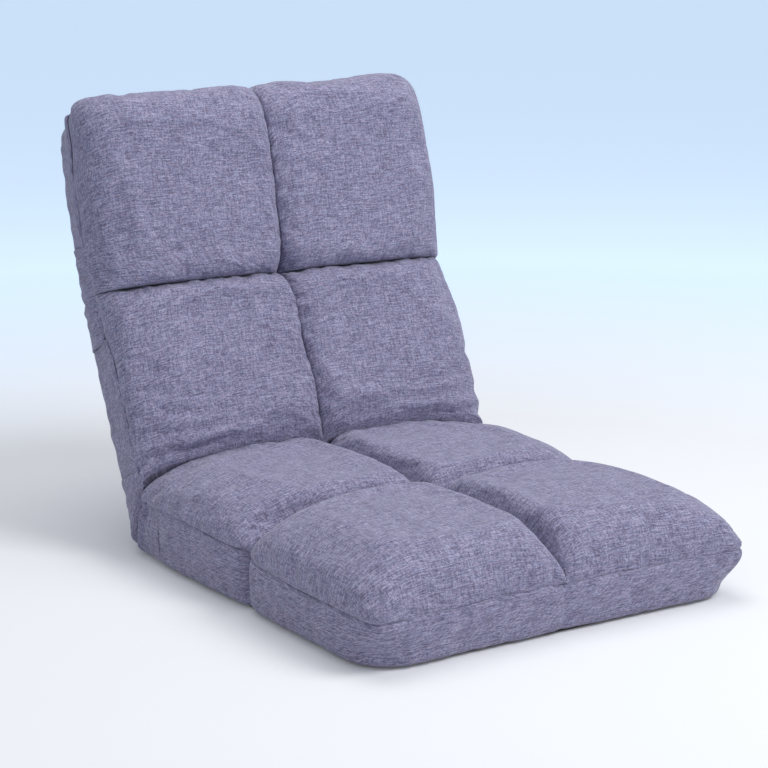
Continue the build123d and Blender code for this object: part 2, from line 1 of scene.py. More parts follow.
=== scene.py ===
"""Folding floor chair: cushion covers, side bands, fold cloth, zip and a plain studio.

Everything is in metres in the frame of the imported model: X across the chair, the
sitter faces -Y, +Z is up, and the origin is on the floor under the middle of the seat.
"""

import json
import logging
import math
from dataclasses import dataclass, replace
from enum import Enum
from typing import Union

import bmesh
import bpy
import numpy as np
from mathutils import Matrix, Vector


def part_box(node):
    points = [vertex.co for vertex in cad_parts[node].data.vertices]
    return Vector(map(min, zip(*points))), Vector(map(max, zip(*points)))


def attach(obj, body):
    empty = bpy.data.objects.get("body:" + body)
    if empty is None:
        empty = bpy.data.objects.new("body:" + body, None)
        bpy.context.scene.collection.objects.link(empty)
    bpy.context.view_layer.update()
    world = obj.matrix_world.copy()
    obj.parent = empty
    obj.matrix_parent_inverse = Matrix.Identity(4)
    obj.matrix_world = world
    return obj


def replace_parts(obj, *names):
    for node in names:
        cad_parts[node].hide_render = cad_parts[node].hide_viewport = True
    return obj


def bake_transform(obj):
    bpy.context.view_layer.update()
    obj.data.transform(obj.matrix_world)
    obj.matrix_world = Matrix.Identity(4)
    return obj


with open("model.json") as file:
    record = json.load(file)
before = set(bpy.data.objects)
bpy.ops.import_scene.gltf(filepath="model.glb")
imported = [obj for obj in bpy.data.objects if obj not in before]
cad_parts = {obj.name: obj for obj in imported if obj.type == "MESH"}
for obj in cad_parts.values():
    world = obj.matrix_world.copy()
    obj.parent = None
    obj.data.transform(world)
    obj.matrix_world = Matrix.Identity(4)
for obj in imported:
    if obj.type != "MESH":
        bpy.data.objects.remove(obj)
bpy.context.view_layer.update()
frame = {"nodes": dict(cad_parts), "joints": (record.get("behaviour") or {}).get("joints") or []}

log = logging.getLogger("floor_chair")

Array = np.ndarray

HALF_WIDTH = 0.260  # middle to a side seam
REAR_LEVEL = -0.034  # underside or rear cloth below the plane of the tubes
CROWN_LEVEL = 0.0840  # top of a back or head cushion above that plane
SEAT_LENGTH = 0.545
BACK_LENGTH = 0.300
HEAD_LENGTH = 0.250
SEAT_CHANNEL = SEAT_LENGTH / 2
BACK_RECLINE = math.radians(25.0)
HEAD_RECLINE = math.radians(15.0)
WAIST_CONTACT = math.radians(72.0)  # the pressed fold, measured from the seat
HEAD_CONTACT = math.radians(85.0)  # the pressed fold under the head, from the back
WAIST_ANGLE = math.radians(90.0) + BACK_RECLINE
WAIST_SPREAD = 0.240  # length of the bend span that fold_span works out at the waist
HEAD_SPREAD = 0.190  # and at the head fold
GUSSET_SPREAD = 0.085  # the waist's own cloth is given a shorter spread
HEAD_GUSSET_SPREAD = GUSSET_SPREAD + 0.035
BACK_CUT = 0.196  # where a back cushion is cut into a lower and an upper half
FOLD_REACH = 0.062  # from a hinge axis to where the side bands begin
PANEL_LAP = 0.003  # how far a rear panel reaches past that under the fold's cloth
ZIP_PLACE = 0.118  # zip up the back from the waist axis
ZIP_SLOT = 0.0045  # half the opening that its tape shows in
ZIP_HALF_LENGTH = float(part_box("zip_tape")[1][0])  # middle to an end of its tape
SEAT_EDGE = (0.012, 0.012, 0.002)  # lower corner of a side band: inward, high, foot inset
REAR_EDGE = (0.015, 0.026, 0.004)  # the same behind the back and the head
BAND_WALL = 0.0018  # cloth of a side band, with its piping
FOLD_WALL = 0.0016
PANEL_WALL = 0.0012
SLIT = 0.0002  # half the gap between two cushions
TINY = 1e-9  # keeps a length that is divided by from being zero


# ---- The three stiff sections ----
@dataclass(frozen=True)
class Section:
    """One stiff part of the chair, as the plane through its tubes.

    Fields:
        body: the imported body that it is.
        origin: a point on its lower hinge axis, in the middle of the chair.
        along: unit vector up its length.
        out: unit vector towards the sitter.
    """

    body: str
    origin: Array
    along: Array
    out: Array

    def place(self, across: Array, length: Array, level: Array) -> Array:
        """Turns section coordinates into frame coordinates.

        Args:
            across: position along world X.
            length: distance from the hinge axis along the section.
            level: height above the plane of the tubes, towards the sitter.

        Returns:
            An array of points with a last axis of three.
        """
        across, length, level = np.broadcast_arrays(across, length, level)
        points = self.origin + length[..., None] * self.along + level[..., None] * self.out
        points[..., 0] = across
        return points

    def turn(self, directions: Array) -> Array:
        """Turns directions from section coordinates into frame coordinates."""
        turned = directions[..., 1:2] * self.along + directions[..., 2:3] * self.out
        turned[..., 0] = directions[..., 0]
        return turned


def joint_axis(name: str) -> Array:
    """Point on the axis of one of the record's hinges."""
    found = next(joint for joint in frame["joints"] if joint["name"] == name)
    return np.array(found["pos_m"], float)


def leaning(body: str, origin: Array, recline: float) -> Section:
    """Section that leans back from the vertical by an angle in radians."""
    along = np.array([0.0, math.sin(recline), math.cos(recline)])
    out = np.array([0.0, -math.cos(recline), math.sin(recline)])
    return Section(body, origin, along, out)


WAIST_AXIS = joint_axis("waist_fold")
HEAD_AXIS = joint_axis("head_fold")
SEAT = Section("seat", WAIST_AXIS, np.array([0.0, -1.0, 0.0]), np.array([0.0, 0.0, 1.0]))
BACK = leaning("back", WAIST_AXIS, BACK_RECLINE)
HEAD = leaning("head", HEAD_AXIS, HEAD_RECLINE)


def fold_span(axis: Array, before: Array, after: Array, spread: float) -> tuple:
    """Start and end of a bend, square to the plane that halves a fold.

    Args:
        axis: point on the hinge axis.
        before: direction from the axis along the section before the fold.
        after: direction from the axis along the section after it.
        spread: length of the bend.

    Returns:
        The two points, each as three numbers.
    """
    through = after - before
    through = through / np.linalg.norm(through)
    return tuple(axis - through * spread / 2), tuple(axis + through * spread / 2)


# ---- Curves, waves and meshes ----
def roll(count: int, reach: float, rise: float, fullness: float) -> tuple[Array, Array]:
    """Quarter of a superellipse: it leaves its start square and arrives flat.

    advance = reach * (1 - cos(t)^(2/n)) and height = rise * sin(t)^(2/n), t from 0 to 90
    degrees, where n is the fullness: 2 is an ellipse and more is boxier.

    Args:
        count: number of points.
        reach: length of the quarter.
        rise: height of the quarter.
        fullness: the exponent n.

    Returns:
        Advance and height of each point.
    """
    turn = np.linspace(0.0, math.pi / 2, count)
    power = 2.0 / fullness
    return reach * (1 - np.cos(turn) ** power), rise * np.sin(turn) ** power


def smooth_step(share: Array) -> Array:
    """Rises smoothly from 0 to 1 as the share goes from 0 to 1."""
    share = np.clip(share, 0.0, 1.0)
    return share * share * (3.0 - 2.0 * share)


def waves(
    across: Array, along: Array, seed: int, longest: float, shortest: float, count: int = 9
) -> Array:
    """Smooth uneven relief between about -1 and 1: a sum of plane waves.

    Each wave has its own seeded direction, phase and length between two limits.

    Args:
        across: first coordinate of each point, in metres of cloth.
        along: second coordinate.
        seed: seed of the draws.
        longest: longest wave.
        shortest: shortest wave.
        count: number of waves.

    Returns:
        Relief of each point.
    """
    usual_crest = 1.4
    source = np.random.default_rng(seed)
    relief = np.zeros(np.broadcast(across, along).shape)
    for _ in range(count):
        length = shortest + (longest - shortest) * source.random()
        turn = source.random() * math.pi
        phase = source.random() * math.tau
        reading = across * math.cos(turn) + along * math.sin(turn)
        relief += np.sin(math.tau * reading / length + phase)
    return relief / math.sqrt(count) / usual_crest


@dataclass(frozen=True)
class Puckers:
    """Gathers that stand square to a seam and fade away from it.

    Fields:
        height: height of the gathers.
        fade: distance from the seam at which they have fallen to a third.
        longest, shortest: limits of their wave lengths.
        seed: added to the cushion's own seed.
        slant: how much they wander as they leave the seam.
        start: distance from the seam over which they rise.
    """

    height: float
    fade: float
    longest: float
    shortest: float
    seed: int
    slant: float = 0.15
    start: float = 0.005

    def relief(self, along: Array, away: Array, seed: int) -> Array:
        """height * waves * e^(-away / fade), and nothing on the seam itself.

        Args:
            along: coordinate along the seam.
            away: distance from the seam.
            seed: the cushion's own seed.

        Returns:
            Relief of each point.
        """
        gathers = waves(along, away * self.slant, seed + self.seed, self.longest, self.shortest)
        rise = np.clip(away / self.start, 0, 1)
        return self.height * gathers * np.exp(-away / self.fade) * rise


def surface_normals(points: Array) -> Array:
    """Unit normals of a grid of points, from its two central differences.

    Args:
        points: (rows, columns, 3) grid.

    Returns:
        Normals in the same shape.
    """
    first = np.gradient(points, axis=0)
    second = np.gradient(points, axis=1)
    normal = np.cross(first, second)
    size = np.linalg.norm(normal, axis=-1, keepdims=True)
    return normal / np.maximum(size, 1e-12)


def arc_lengths(points: Array, axis: int) -> Array:
    """Running length along one axis of a grid of points.

    Args:
        points: (rows, columns, 3) grid.
        axis: 0 to run over the rows, 1 over the columns.

    Returns:
        (rows, columns) lengths, 0 on the first row or column.
    """
    steps = np.linalg.norm(np.diff(points, axis=axis), axis=-1)
    pad = [(0, 0), (0, 0)]
    pad[axis] = (1, 0)
    return np.pad(np.cumsum(steps, axis=axis), pad)


def grid_faces(rows: int, columns: int, wrap: bool = False) -> Array:
    """Quads of a grid numbered row by row.

    Args:
        rows: rows of points.
        columns: points in a row.
        wrap: whether the last column is joined to the first.

    Returns:
        (faces, 4) vertex numbers.
    """
    down = np.arange(rows - 1)[:, None]
    right = np.arange(columns if wrap else columns - 1)[None, :]
    beside = (right + 1) % columns
    corner = down * columns
    return np.stack(
        [corner + right, corner + beside, corner + columns + beside, corner + columns + right],
        axis=-1
    ).reshape(-1, 4)


def even_path(stops: list, count: int) -> Array:
    """Evenly spaced points on a polyline.

    Args:
        stops: corners of the polyline, each of two numbers.
        count: number of points.

    Returns:
        (count, 2) points.
    """
    stops = np.array(stops)
    steps = np.linalg.norm(np.diff(stops, axis=0), axis=-1)
    run = np.concatenate([[0.0], np.cumsum(steps)])
    wanted = np.linspace(0, run[-1], count)
    return np.stack([np.interp(wanted, run, stops[:, axis]) for axis in (0, 1)], axis=-1)


def refine(points: Array) -> Array:
    """Doubles a grid's density with a smooth curve through its points.

    Each new point is 9/16 of its two neighbours less 1/16 of the two beyond them.

    Args:
        points: (rows, columns, 3) grid.

    Returns:
        The grid with a new line between each two.
    """
    for axis in (0, 1):
        lines = np.moveaxis(points, axis, 0)
        padded = np.concatenate([2 * lines[:1] - lines[1:2], lines, 2 * lines[-1:] - lines[-2:-1]])
        middle = (9 * (padded[1:-2] + padded[2:-1]) - padded[:-3] - padded[3:]) / 16
        woven = np.empty((2 * len(lines) - 1, *lines.shape[1:]))
        woven[0::2], woven[1::2] = lines, middle
        points = np.moveaxis(woven, 0, axis)
    return points


def corner_vertices(mesh: bpy.types.Mesh) -> Array:
    """Vertex number of each face corner of a mesh."""
    numbers = np.zeros(len(mesh.loops), np.int32)
    mesh.loops.foreach_get("vertex_index", numbers)
    return numbers


def make_piece(
    name: str, points: Array, faces: list, uv: Array, flat_faces: int = 0
) -> bpy.types.Object:
    """Makes a smooth mesh object with a UV map in metres of cloth.

    Args:
        name: the piece's name.
        points: (n, 3) vertex positions in the frame.
        faces: vertex numbers of each face.
        uv: (n, 2) cloth position of each vertex.
        flat_faces: how many of the last faces are shaded flat.

    Returns:
        The piece, linked to the scene.
    """
    mesh = bpy.data.meshes.new(name)
    mesh.from_pydata(points.tolist(), [], [list(map(int, face)) for face in faces])
    layer = mesh.uv_layers.new(name="Cloth")
    layer.data.foreach_set("uv", uv[corner_vertices(mesh)].astype(np.float32).ravel())
    smooth = np.ones(len(mesh.polygons), bool)
    if flat_faces:
        smooth[-flat_faces:] = False
    mesh.polygons.foreach_set("use_smooth", smooth)
    piece = bpy.data.objects.new(name, mesh)
    bpy.context.scene.collection.objects.link(piece)
    return piece


def face_outwards(piece: bpy.types.Object) -> None:
    """Recalculates face directions so that they point outwards.

    Args:
        piece: an object with a closed mesh.
    """
    work = bmesh.new()
    work.from_mesh(piece.data)
    bmesh.ops.recalc_face_normals(work, faces=work.faces)
    work.to_mesh(piece.data)
    work.free()


def keep_normals(piece: bpy.types.Object, directions: Array, caps: int) -> None:
    """Gives each face corner its vertex's own direction, except on the caps.

    Args:
        piece: the mesh object, with its faces outwards.
        directions: (vertices, 3) unit normals, all outwards or all inwards.
        caps: how many of the last faces keep their flat normals.
    """
    mesh = piece.data
    automatic = np.zeros(len(mesh.vertices) * 3, np.float32)
    mesh.vertices.foreach_get("normal", automatic)
    agreement = np.sum(automatic.reshape(-1, 3) * directions)
    kept = (directions * np.sign(agreement))[corner_vertices(mesh)].astype(np.float32)
    for face in list(mesh.polygons)[-caps:]:
        kept[face.loop_start : face.loop_start + face.loop_total] = face.normal
    mesh.normals_split_custom_set([tuple(row) for row in kept.tolist()])


def sewn_sheet(
    name: str, points: Array, outward: Array, thickness: float, shift: float
) -> bpy.types.Object:
    """Makes one sheet of cloth from a grid, with its wall inside the surface.

    Its cloth position is its running length both ways.

    Args:
        name: the piece's name.
        points: (rows, columns, 3) points of the outer surface.
        outward: rough outward direction of each point.
        thickness: thickness of the cloth.
        shift: moves the weave, so that two pieces differ.

    Returns:
        The piece, not yet bound to a body.
    """
    points = points.copy()
    points[..., 2] = np.maximum(points[..., 2], thickness)
    across, along = arc_lengths(points, 1), arc_lengths(points, 0)
    uv = np.stack([across, along], axis=-1).reshape(-1, 2) + shift
    faces = grid_faces(*points.shape[:2])
    if np.sum(surface_normals(points) * outward) > 0:
        faces = faces[:, ::-1]
    piece = make_piece(name, points.reshape(-1, 3), faces.tolist(), uv)
    wall = piece.modifiers.new("wall", "SOLIDIFY")
    wall.thickness = thickness
    wall.offset = -1.0
    return piece


# ---- Finishes ----
Operand = Union[bpy.types.NodeSocket, float, tuple]


class NodeTree:
    """Adds and joins the nodes of one material or of the world."""

    def __init__(self, owner: Union[bpy.types.Material, bpy.types.World]) -> None:
        """Opens the nodes of a material or the world.

        Args:
            owner: what the nodes belong to.
        """
        owner.use_nodes = True
        self.owner = owner
        self.nodes = owner.node_tree.nodes
        self.links = owner.node_tree.links

    @classmethod
    def material(cls, name: str) -> "NodeTree":
        """Starts a material with only its Principled shader and output."""
        return cls(bpy.data.materials.new(name))

    @property
    def shader(self) -> bpy.types.Node:
        """The material's Principled shader."""
        return self.nodes["Principled BSDF"]

    def feed(self, node: bpy.types.Node, inputs: dict[Union[str, int], Operand]) -> None:
        """Sets inputs of a node.

        Args:
            node: the node.
            inputs: value, or socket to join, for each input by its name or number.
        """
        for key, value in inputs.items():
            if isinstance(value, bpy.types.NodeSocket):
                self.links.new(value, node.inputs[key])
            else:
                node.inputs[key].default_value = value

    def add(self, kind: str, inputs: dict | None = None, **settings: str) -> bpy.types.Node:
        """Adds a node.

        Args:
            kind: the node's type.
            inputs: value or socket for each of its inputs.
            settings: its other properties.

        Returns:
            The node.
        """
        node = self.nodes.new(kind)
        for key, value in settings.items():
            setattr(node, key, value)
        self.feed(node, inputs or {})
        return node

    def math(self, operation: str, *operands: Operand) -> bpy.types.NodeSocket:
        """Adds a math node; each operand is a socket or a number."""
        inputs = dict(enumerate(operands))
        return self.add("ShaderNodeMath", inputs, operation=operation).outputs[0]

    def noise(
        self, source: bpy.types.NodeSocket, scale: tuple, detail: float, seed: float
    ) -> bpy.types.NodeSocket:
        """Noise read on coordinates that are scaled differently each way.

        Args:
            source: socket with the coordinates.
            scale: cycles per metre across, along and in depth.
            detail: octaves.
            seed: offset that moves the pattern.

        Returns:
            Socket with the noise, from 0 to 1.
        """
        shift = (seed, seed * 0.7, seed * 0.3)
        mapping = self.add(
            "ShaderNodeMapping", {"Scale": scale, "Location": shift, "Vector": source}
        )
        inputs = {"Scale": 1.0, "Detail": detail, "Roughness": 0.6, "Vector": mapping.outputs[0]}
        return self.add("ShaderNodeTexNoise", inputs).outputs["Fac"]

    def ramp(
        self, source: bpy.types.NodeSocket, *stops: tuple[float, tuple]
    ) -> bpy.types.NodeSocket:
        """Turns a number into a colour.

        Args:
            source: socket with the number.
            stops: position and colour of each stop, from low to high.

        Returns:
            Socket with the colour.
        """
        node = self.add("ShaderNodeValToRGB", {"Fac": source})
        elements = node.color_ramp.elements
        elements[0].position, elements[1].position = stops[0][0], stops[-1][0]
        for position, _ in stops[1:-1]:
            elements.new(position)
        for element, (_, colour) in zip(elements, stops):
            element.color = (*colour, 1)
        return node.outputs["Color"]

    def bump(self, height: bpy.types.NodeSocket, strength: float, distance: float) -> None:
        """Roughens the shader's surface by a height of so many metres."""
        inputs = {"Strength": strength, "Distance": distance, "Height": height}
        self.feed(self.shader, {"Normal": self.add("ShaderNodeBump", inputs).outputs["Normal"]})


@dataclass(frozen=True)
class SlubCloth:
    """Plain woven melange cloth with uneven threads, as a finish.

    Fields:
        name: material name.
        dark, mid, light: colours of the darker yarn, of the whole and of the paler yarn.
        warm, cool: tints of single threads.
        layers: share, cycles per metre, octaves and offset of each layer of slubs: weft,
            warp, single crossings and slow streaks.
        stops: where on the sum of the layers each colour stands.
        hue_scale: cycles per metre of the tints.
        threads: threads per metre of the plain weave.
        relief: height of the weave.
        sheen: how much fuzz catches the light.
    """

    name: str
    dark: tuple
    mid: tuple
    light: tuple
    warm: tuple = (1.06, 0.985, 0.98)
    cool: tuple = (0.955, 1.0, 1.03)
    layers: tuple = (
        (0.32, (42.0, 640.0, 1.0), 1.0, 3.1), (0.22, (680.0, 70.0, 1.0), 1.0, 7.7),
        (0.42, (380.0, 680.0, 1.0), 1.0, 1.3), (0.04, (14.0, 90.0, 1.0), 2.0, 5.9)
    )
    stops: tuple = (0.380, 0.505, 0.635)
    hue_scale: tuple = (90.0, 700.0, 1.0)
    threads: float = 900.0
    relief: float = 0.0006
    sheen: float = 0.25

    def make(self) -> bpy.types.Material:
        """Builds the material.

        Weft slubs are noise stretched across, warp slubs noise stretched along, and the
        thread crossings two crossed sine waves. The sum of the slubs sets the yarn's
        colour, and with the crossings the bump.

        Returns:
            The material.
        """
        tree = NodeTree.material(self.name)
        cloth = tree.add("ShaderNodeUVMap", uv_map="Cloth").outputs["UV"]
        slubs = 0.0
        for share, scale, detail, seed in self.layers:
            layer = tree.math("MULTIPLY", tree.noise(cloth, scale, detail, seed), share)
            slubs = tree.math("ADD", slubs, layer)
        yarn = tree.ramp(slubs, *zip(self.stops, (self.dark, self.mid, self.light)))
        hue = tree.ramp(
            tree.noise(cloth, self.hue_scale, 2.0, 9.4), (0.40, self.warm), (0.60, self.cool)
        )
        tint = tree.add(
            "ShaderNodeMix", {"Factor": 1.0}, data_type="RGBA", blend_type="MULTIPLY"
        )
        sockets = {socket.identifier: socket for socket in (*tint.inputs, *tint.outputs)}
        tree.links.new(yarn, sockets["A_Color"])
        tree.links.new(hue, sockets["B_Color"])
        split = tree.add("ShaderNodeSeparateXYZ", {"Vector": cloth})
        weft, warp = (
            tree.math("SINE", tree.math("MULTIPLY", split.outputs[axis], math.tau * self.threads))
            for axis in (0, 1)
        )
        weave = tree.math("MULTIPLY", tree.math("MULTIPLY", weft, warp), 0.10)
        tree.bump(tree.math("ADD", slubs, weave), 0.55, self.relief)
        tree.feed(
            tree.shader,
            {
                "Base Color": sockets["Result_Color"], "Roughness": 0.92,
                "Specular IOR Level": 0.18, "Sheen Weight": self.sheen, "Sheen Roughness": 0.45
            },
        )
        return tree.owner


@dataclass(frozen=True)
class Metal:
    """Plated or painted metal, with faint mottling in its roughness.

    Fields:
        name: material name.
        colour: base colour.
        metallic: 1 for bare metal, 0 for paint.
        roughness: middle of the roughness.
        spread: how far the mottling moves the roughness in all.
    """

    name: str
    colour: tuple
    metallic: float
    roughness: float
    spread: float = 0.22

    def make(self) -> bpy.types.Material:
        """Builds the material on object coordinates.

        Returns:
            The material.
        """
        tree = NodeTree.material(self.name)
        place = tree.add("ShaderNodeTexCoord").outputs["Object"]
        mottle = tree.noise(place, (160.0, 160.0, 160.0), 4.0, 2.0)
        mottled = tree.math("MULTIPLY", mottle, self.spread)
        tree.bump(mottle, 0.2, 0.0002)
        tree.feed(
            tree.shader,
            {
                "Base Color": (*self.colour, 1), "Metallic": self.metallic,
                "Roughness": tree.math("ADD", mottled, self.roughness - self.spread / 2)
            },
        )
        return tree.owner


@dataclass(frozen=True)
class FeltLining:
    """Black non-woven cloth of the underside: a fine mottle of pressed fibres.

    Fields:
        name: material name.
        colour: middle of its colour.
    """

    name: str = "lining"
    colour: tuple = (0.035, 0.035, 0.038)

    def make(self) -> bpy.types.Material:
        """Builds the material on object coordinates.

        Returns:
            The material.
        """
        tree = NodeTree.material(self.name)
        place = tree.add("ShaderNodeTexCoord").outputs["Object"]
        fibre = tree.noise(place, (420.0, 420.0, 420.0), 4.0, 4.0)
        dark, pale = (tuple(tone * part for part in self.colour) for tone in (0.6, 1.5))
        tree.bump(fibre, 1.0, 0.0004)
        colour = tree.ramp(fibre, (0.0, dark), (1.0, pale))
        tree.feed(tree.shader, {"Base Color": colour, "Roughness": 0.95})
        return tree.owner


class Finishes:
    """The materials, each made once."""

    def __init__(self) -> None:
        """Builds every material."""
        self.cover = SlubCloth(
            "cover_cloth", dark=(0.120, 0.112, 0.178), mid=(0.250, 0.240, 0.360),
            light=(0.43, 0.42, 0.56)
        ).make()
        self.webbing = SlubCloth(
            "webbing", dark=(0.40, 0.39, 0.36), mid=(0.62, 0.60, 0.55), light=(0.75, 0.73, 0.68)
        ).make()
        self.tape = SlubCloth(
            "zip_tape", dark=(0.07, 0.065, 0.10), mid=(0.14, 0.135, 0.20), light=(0.22, 0.21, 0.30)
        ).make()
        self.lining = FeltLining().make()
        self.tube = Metal("frame_paint", (0.028, 0.028, 0.030), metallic=0.0, roughness=0.42).make()
        self.hinge = Metal("hinge_steel", (0.58, 0.58, 0.57), metallic=1.0, roughness=0.38).make()
        self.zip_metal = Metal(
            "zip_metal", (0.16, 0.155, 0.16), metallic=0.9, roughness=0.35
        ).make()


def dress(piece: bpy.types.Object, material: bpy.types.Material) -> None:
    """Puts one material on a piece."""
    piece.data.materials.clear()
    piece.data.materials.append(material)


def dress_node(node: bpy.types.Object, material: bpy.types.Material) -> None:
    """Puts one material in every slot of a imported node.

    Args:
        node: the node's object.
        material: the material.
    """
    if not node.data.materials:
        node.data.materials.append(material)
    for place in range(len(node.data.materials)):
        node.data.materials[place] = material


# ---- The sewn rim of a section ----
@dataclass(frozen=True)
class Rim:
    """Seam line round one section, shared by its cushions and its side band.

    Fields:
        section: the section.
        length: distance of the far seam, or of the next fold, from the hinge axis.
        closed: whether the seam goes round the far end.
        corner: plan radius of the far corners.
        low, high, change: seam level away from the fold and beside it, and the distances
            between which it changes.
        tufts, tuck, tuck_width: places of the tufts, and how far and how wide each draws
            the side in.
        swell: how far the sides bow out between tufts.
        bay, ear, skew: how far the far seam is pulled back at its middle, how far its
            corners stand out, and how much further the left one does, halved.
        end_tuck, end_width, end_reach: share and width of the tuck at the far seam's
            middle, and the distance over which the far seam's shape fades.
        notch, notch_place, notch_width: depth, inset and radius of the corners' pinch.
        ripple, seed: height and seed of the seam's small waves.
    """

    section: Section
    length: float
    closed: bool
    corner: float
    low: float
    high: float
    change: tuple
    tufts: tuple = ()
    swell: float = 0.004
    bay: float = 0.0
    ear: float = 0.0
    tuck: float = 0.013
    tuck_width: float = 0.012
    end_tuck: float = 0.22
    end_width: float = 0.016
    end_reach: float = 0.12
    skew: float = 0.0
    notch: float = 0.0
    notch_place: float = 0.009
    notch_width: float = 0.010
    ripple: float = 0.0011
    seed: int = 1

    def level(self, across: Array, place: Array) -> Array:
        """Level of the seam at a point of the rim, with small waves.

        Args:
            across: position along world X.
            place: distance from the hinge axis.

        Returns:
            Height above the plane of the tubes.
        """
        near, far = self.change
        base = self.high + (self.low - self.high) * smooth_step((place - near) / (far - near))
        ripple = waves(across + 0.0 * place, place + 0.0 * across, self.seed, 0.12, 0.035)
        return base + self.ripple * ripple

    def flare(self, place: float = FOLD_REACH) -> float:
        """How far the side stands out beside a fold."""
        return float(self.plan(np.array([HALF_WIDTH]), np.array([place]))[0][0]) - HALF_WIDTH

    def bow(self, place: Array) -> Array:
        """Outline of the side: swell * |sin|^0.8 between tufts, drawn in at each.

        Args:
            place: distance from the hinge axis.

        Returns:
            How far the side stands out there.
        """
        stops = np.array([0.0, *self.tufts, self.length])
        index = np.clip(np.searchsorted(stops, place, side="right") - 1, 0, len(stops) - 2)
        share = (place - stops[index]) / (stops[index + 1] - stops[index])
        bow = self.swell * np.sin(math.pi * np.clip(share, 0, 1)) ** 0.8
        for tuft in self.tufts:
            bow = bow - self.tuck * np.exp(-np.abs((place - tuft) / self.tuck_width) ** 1.3)
        return bow

    def plan(self, across: Array, place: Array) -> tuple[Array, Array]:
        """Moves a point of the plain rectangle to where it lies in the sewn section.

        The sides bow out, the far seam is pulled back in its middle and pinched at its
        corners, and those are rounded.

        Args:
            across: position along world X on the rectangle.
            place: distance from the hinge axis on the rectangle.

        Returns:
            The moved across and place.
        """
        share = np.abs(across) / HALF_WIDTH
        side = np.sign(across)
        moved = across + side * self.bow(place) * share**3
        if not self.closed:
            return moved, place + 0.0 * across
        near_end = np.clip((place - self.length + self.end_reach) / self.end_reach, 0, 1) ** 2
        pinch = np.exp(-np.abs(across / self.end_width) ** 1.5)
        arch = self.bay * np.cos(math.pi * np.clip(share, 0, 1) / 2) ** 1.5
        pull = self.ear * share**6 - arch - self.tuck * self.end_tuck * pinch
        reach = self.length + pull * near_end
        far = place + (reach - self.length) + self.skew * across / HALF_WIDTH * near_end
        moved, far = self.rounded(moved, far, side, place)
        inside = HALF_WIDTH - self.notch_place - np.abs(across)
        apart = np.hypot(inside, place - self.length + self.notch_place)
        pinch = self.notch * np.exp(-((apart / self.notch_width) ** 2))
        return moved - side * pinch, far - pinch

    def rounded(self, moved: Array, far: Array, side: Array, place: Array) -> tuple[Array, Array]:
        """Rounds the far corners: a square is mapped to a quarter disc.

        Each coordinate in the corner's square is multiplied by sqrt(1 - other^2 / 2).

        Args:
            moved: bowed position along world X.
            far: pulled distance from the hinge axis.
            side: 1 or -1, or 0 in the middle.
            place: distance from the hinge axis on the rectangle.

        Returns:
            The new moved and far.
        """
        size = self.corner
        edge = HALF_WIDTH - size
        one = np.clip((np.abs(moved) - edge) / size, 0, 1.2)
        two = np.clip((place - self.length + size) / size, 0, 1)
        inside = (one > 0) & (two > 0)
        top = np.minimum(one, 1.0)
        turned = side * (edge + one * np.sqrt(1 - two**2 / 2) * size)
        drop = size * (two - two * np.sqrt(1 - top**2 / 2))
        return np.where(inside, turned, moved), np.where(inside, far - drop, far)


SEAT_RIM = Rim(
    SEAT, SEAT_LENGTH, closed=True, corner=0.014, low=0.0255, high=0.040, change=(0.16, 0.42),
    tufts=(SEAT_CHANNEL,), bay=0.004, ear=0.009, notch=0.004, seed=61
)
BACK_RIM = Rim(
    BACK, BACK_LENGTH, closed=False, corner=0.0, low=0.027, high=0.040, change=(0.20, 0.30),
    swell=0.001, seed=62
)
HEAD_RIM = Rim(
    HEAD, HEAD_LENGTH, closed=True, corner=0.022, low=0.019, high=0.027, change=(0.0, 0.08),
    swell=0.002, tuck=0.004, skew=0.006, seed=63
)


# ---- Cushion covers ----
class End(Enum):
    """How a cushion ends: pressed in a fold, sewn in a channel or rounded to a seam."""

    FOLD = "fold"
    CHANNEL = "channel"
    SEAM = "seam"


@dataclass(frozen=True)
class CushionEnd:
    """One end of a cushion, in section coordinates.

    Fields:
        kind: what the end is.
        place: distance of its lip from the hinge axis.
        level: height of its lip.
        reach: length of the roll from the lip up to the crown.
        fullness: shape of that roll.
        lean: direction of the pressed face, as distance gained per unit of height.
        foot: where that face meets the plane of the tubes.
        bulge: how far the roll stands out beyond its lip.
        tufted: how strongly its inner corners are drawn down, from 0 to 1.
        cornered: how strongly its outer corners are drawn down, from 0 up.
    """

    kind: End
    place: float
    level: float
    reach: float
    fullness: float
    lean: float = 0.0
    foot: float = 0.0
    bulge: float = 0.0
    tufted: float = 1.0
    cornered: float = 1.0

    def face(self, level: Array) -> Array:
        """Distance of the end's own face from the hinge axis at a level."""
        return self.foot + self.lean * level


def fold_lip(
    origin: float, contact: float, radius: float, direction: int, **shape: float
) -> CushionEnd:
    """End that is pressed in a fold, with its lip on the contact plane.

    Args:
        origin: distance of the fold's axis along the section.
        contact: angle of the contact plane above the section, in radians.
        radius: distance of the lip from the axis.
        direction: 1 where the cushion starts at the fold, -1 where it ends there.
        shape: reach and fullness of the roll, and how its corners are drawn down.

    Returns:
        The end.
    """
    lean = direction / math.tan(contact)
    level = radius * math.sin(contact)
    return CushionEnd(End.FOLD, origin + level * lean, level, lean=lean, foot=origin, **shape)


def channel(place: float, level: float, reach: float, fullness: float) -> CushionEnd:
    """End sewn down in a channel straight across the chair."""
    return CushionEnd(End.CHANNEL, place, level, reach, fullness, foot=place)


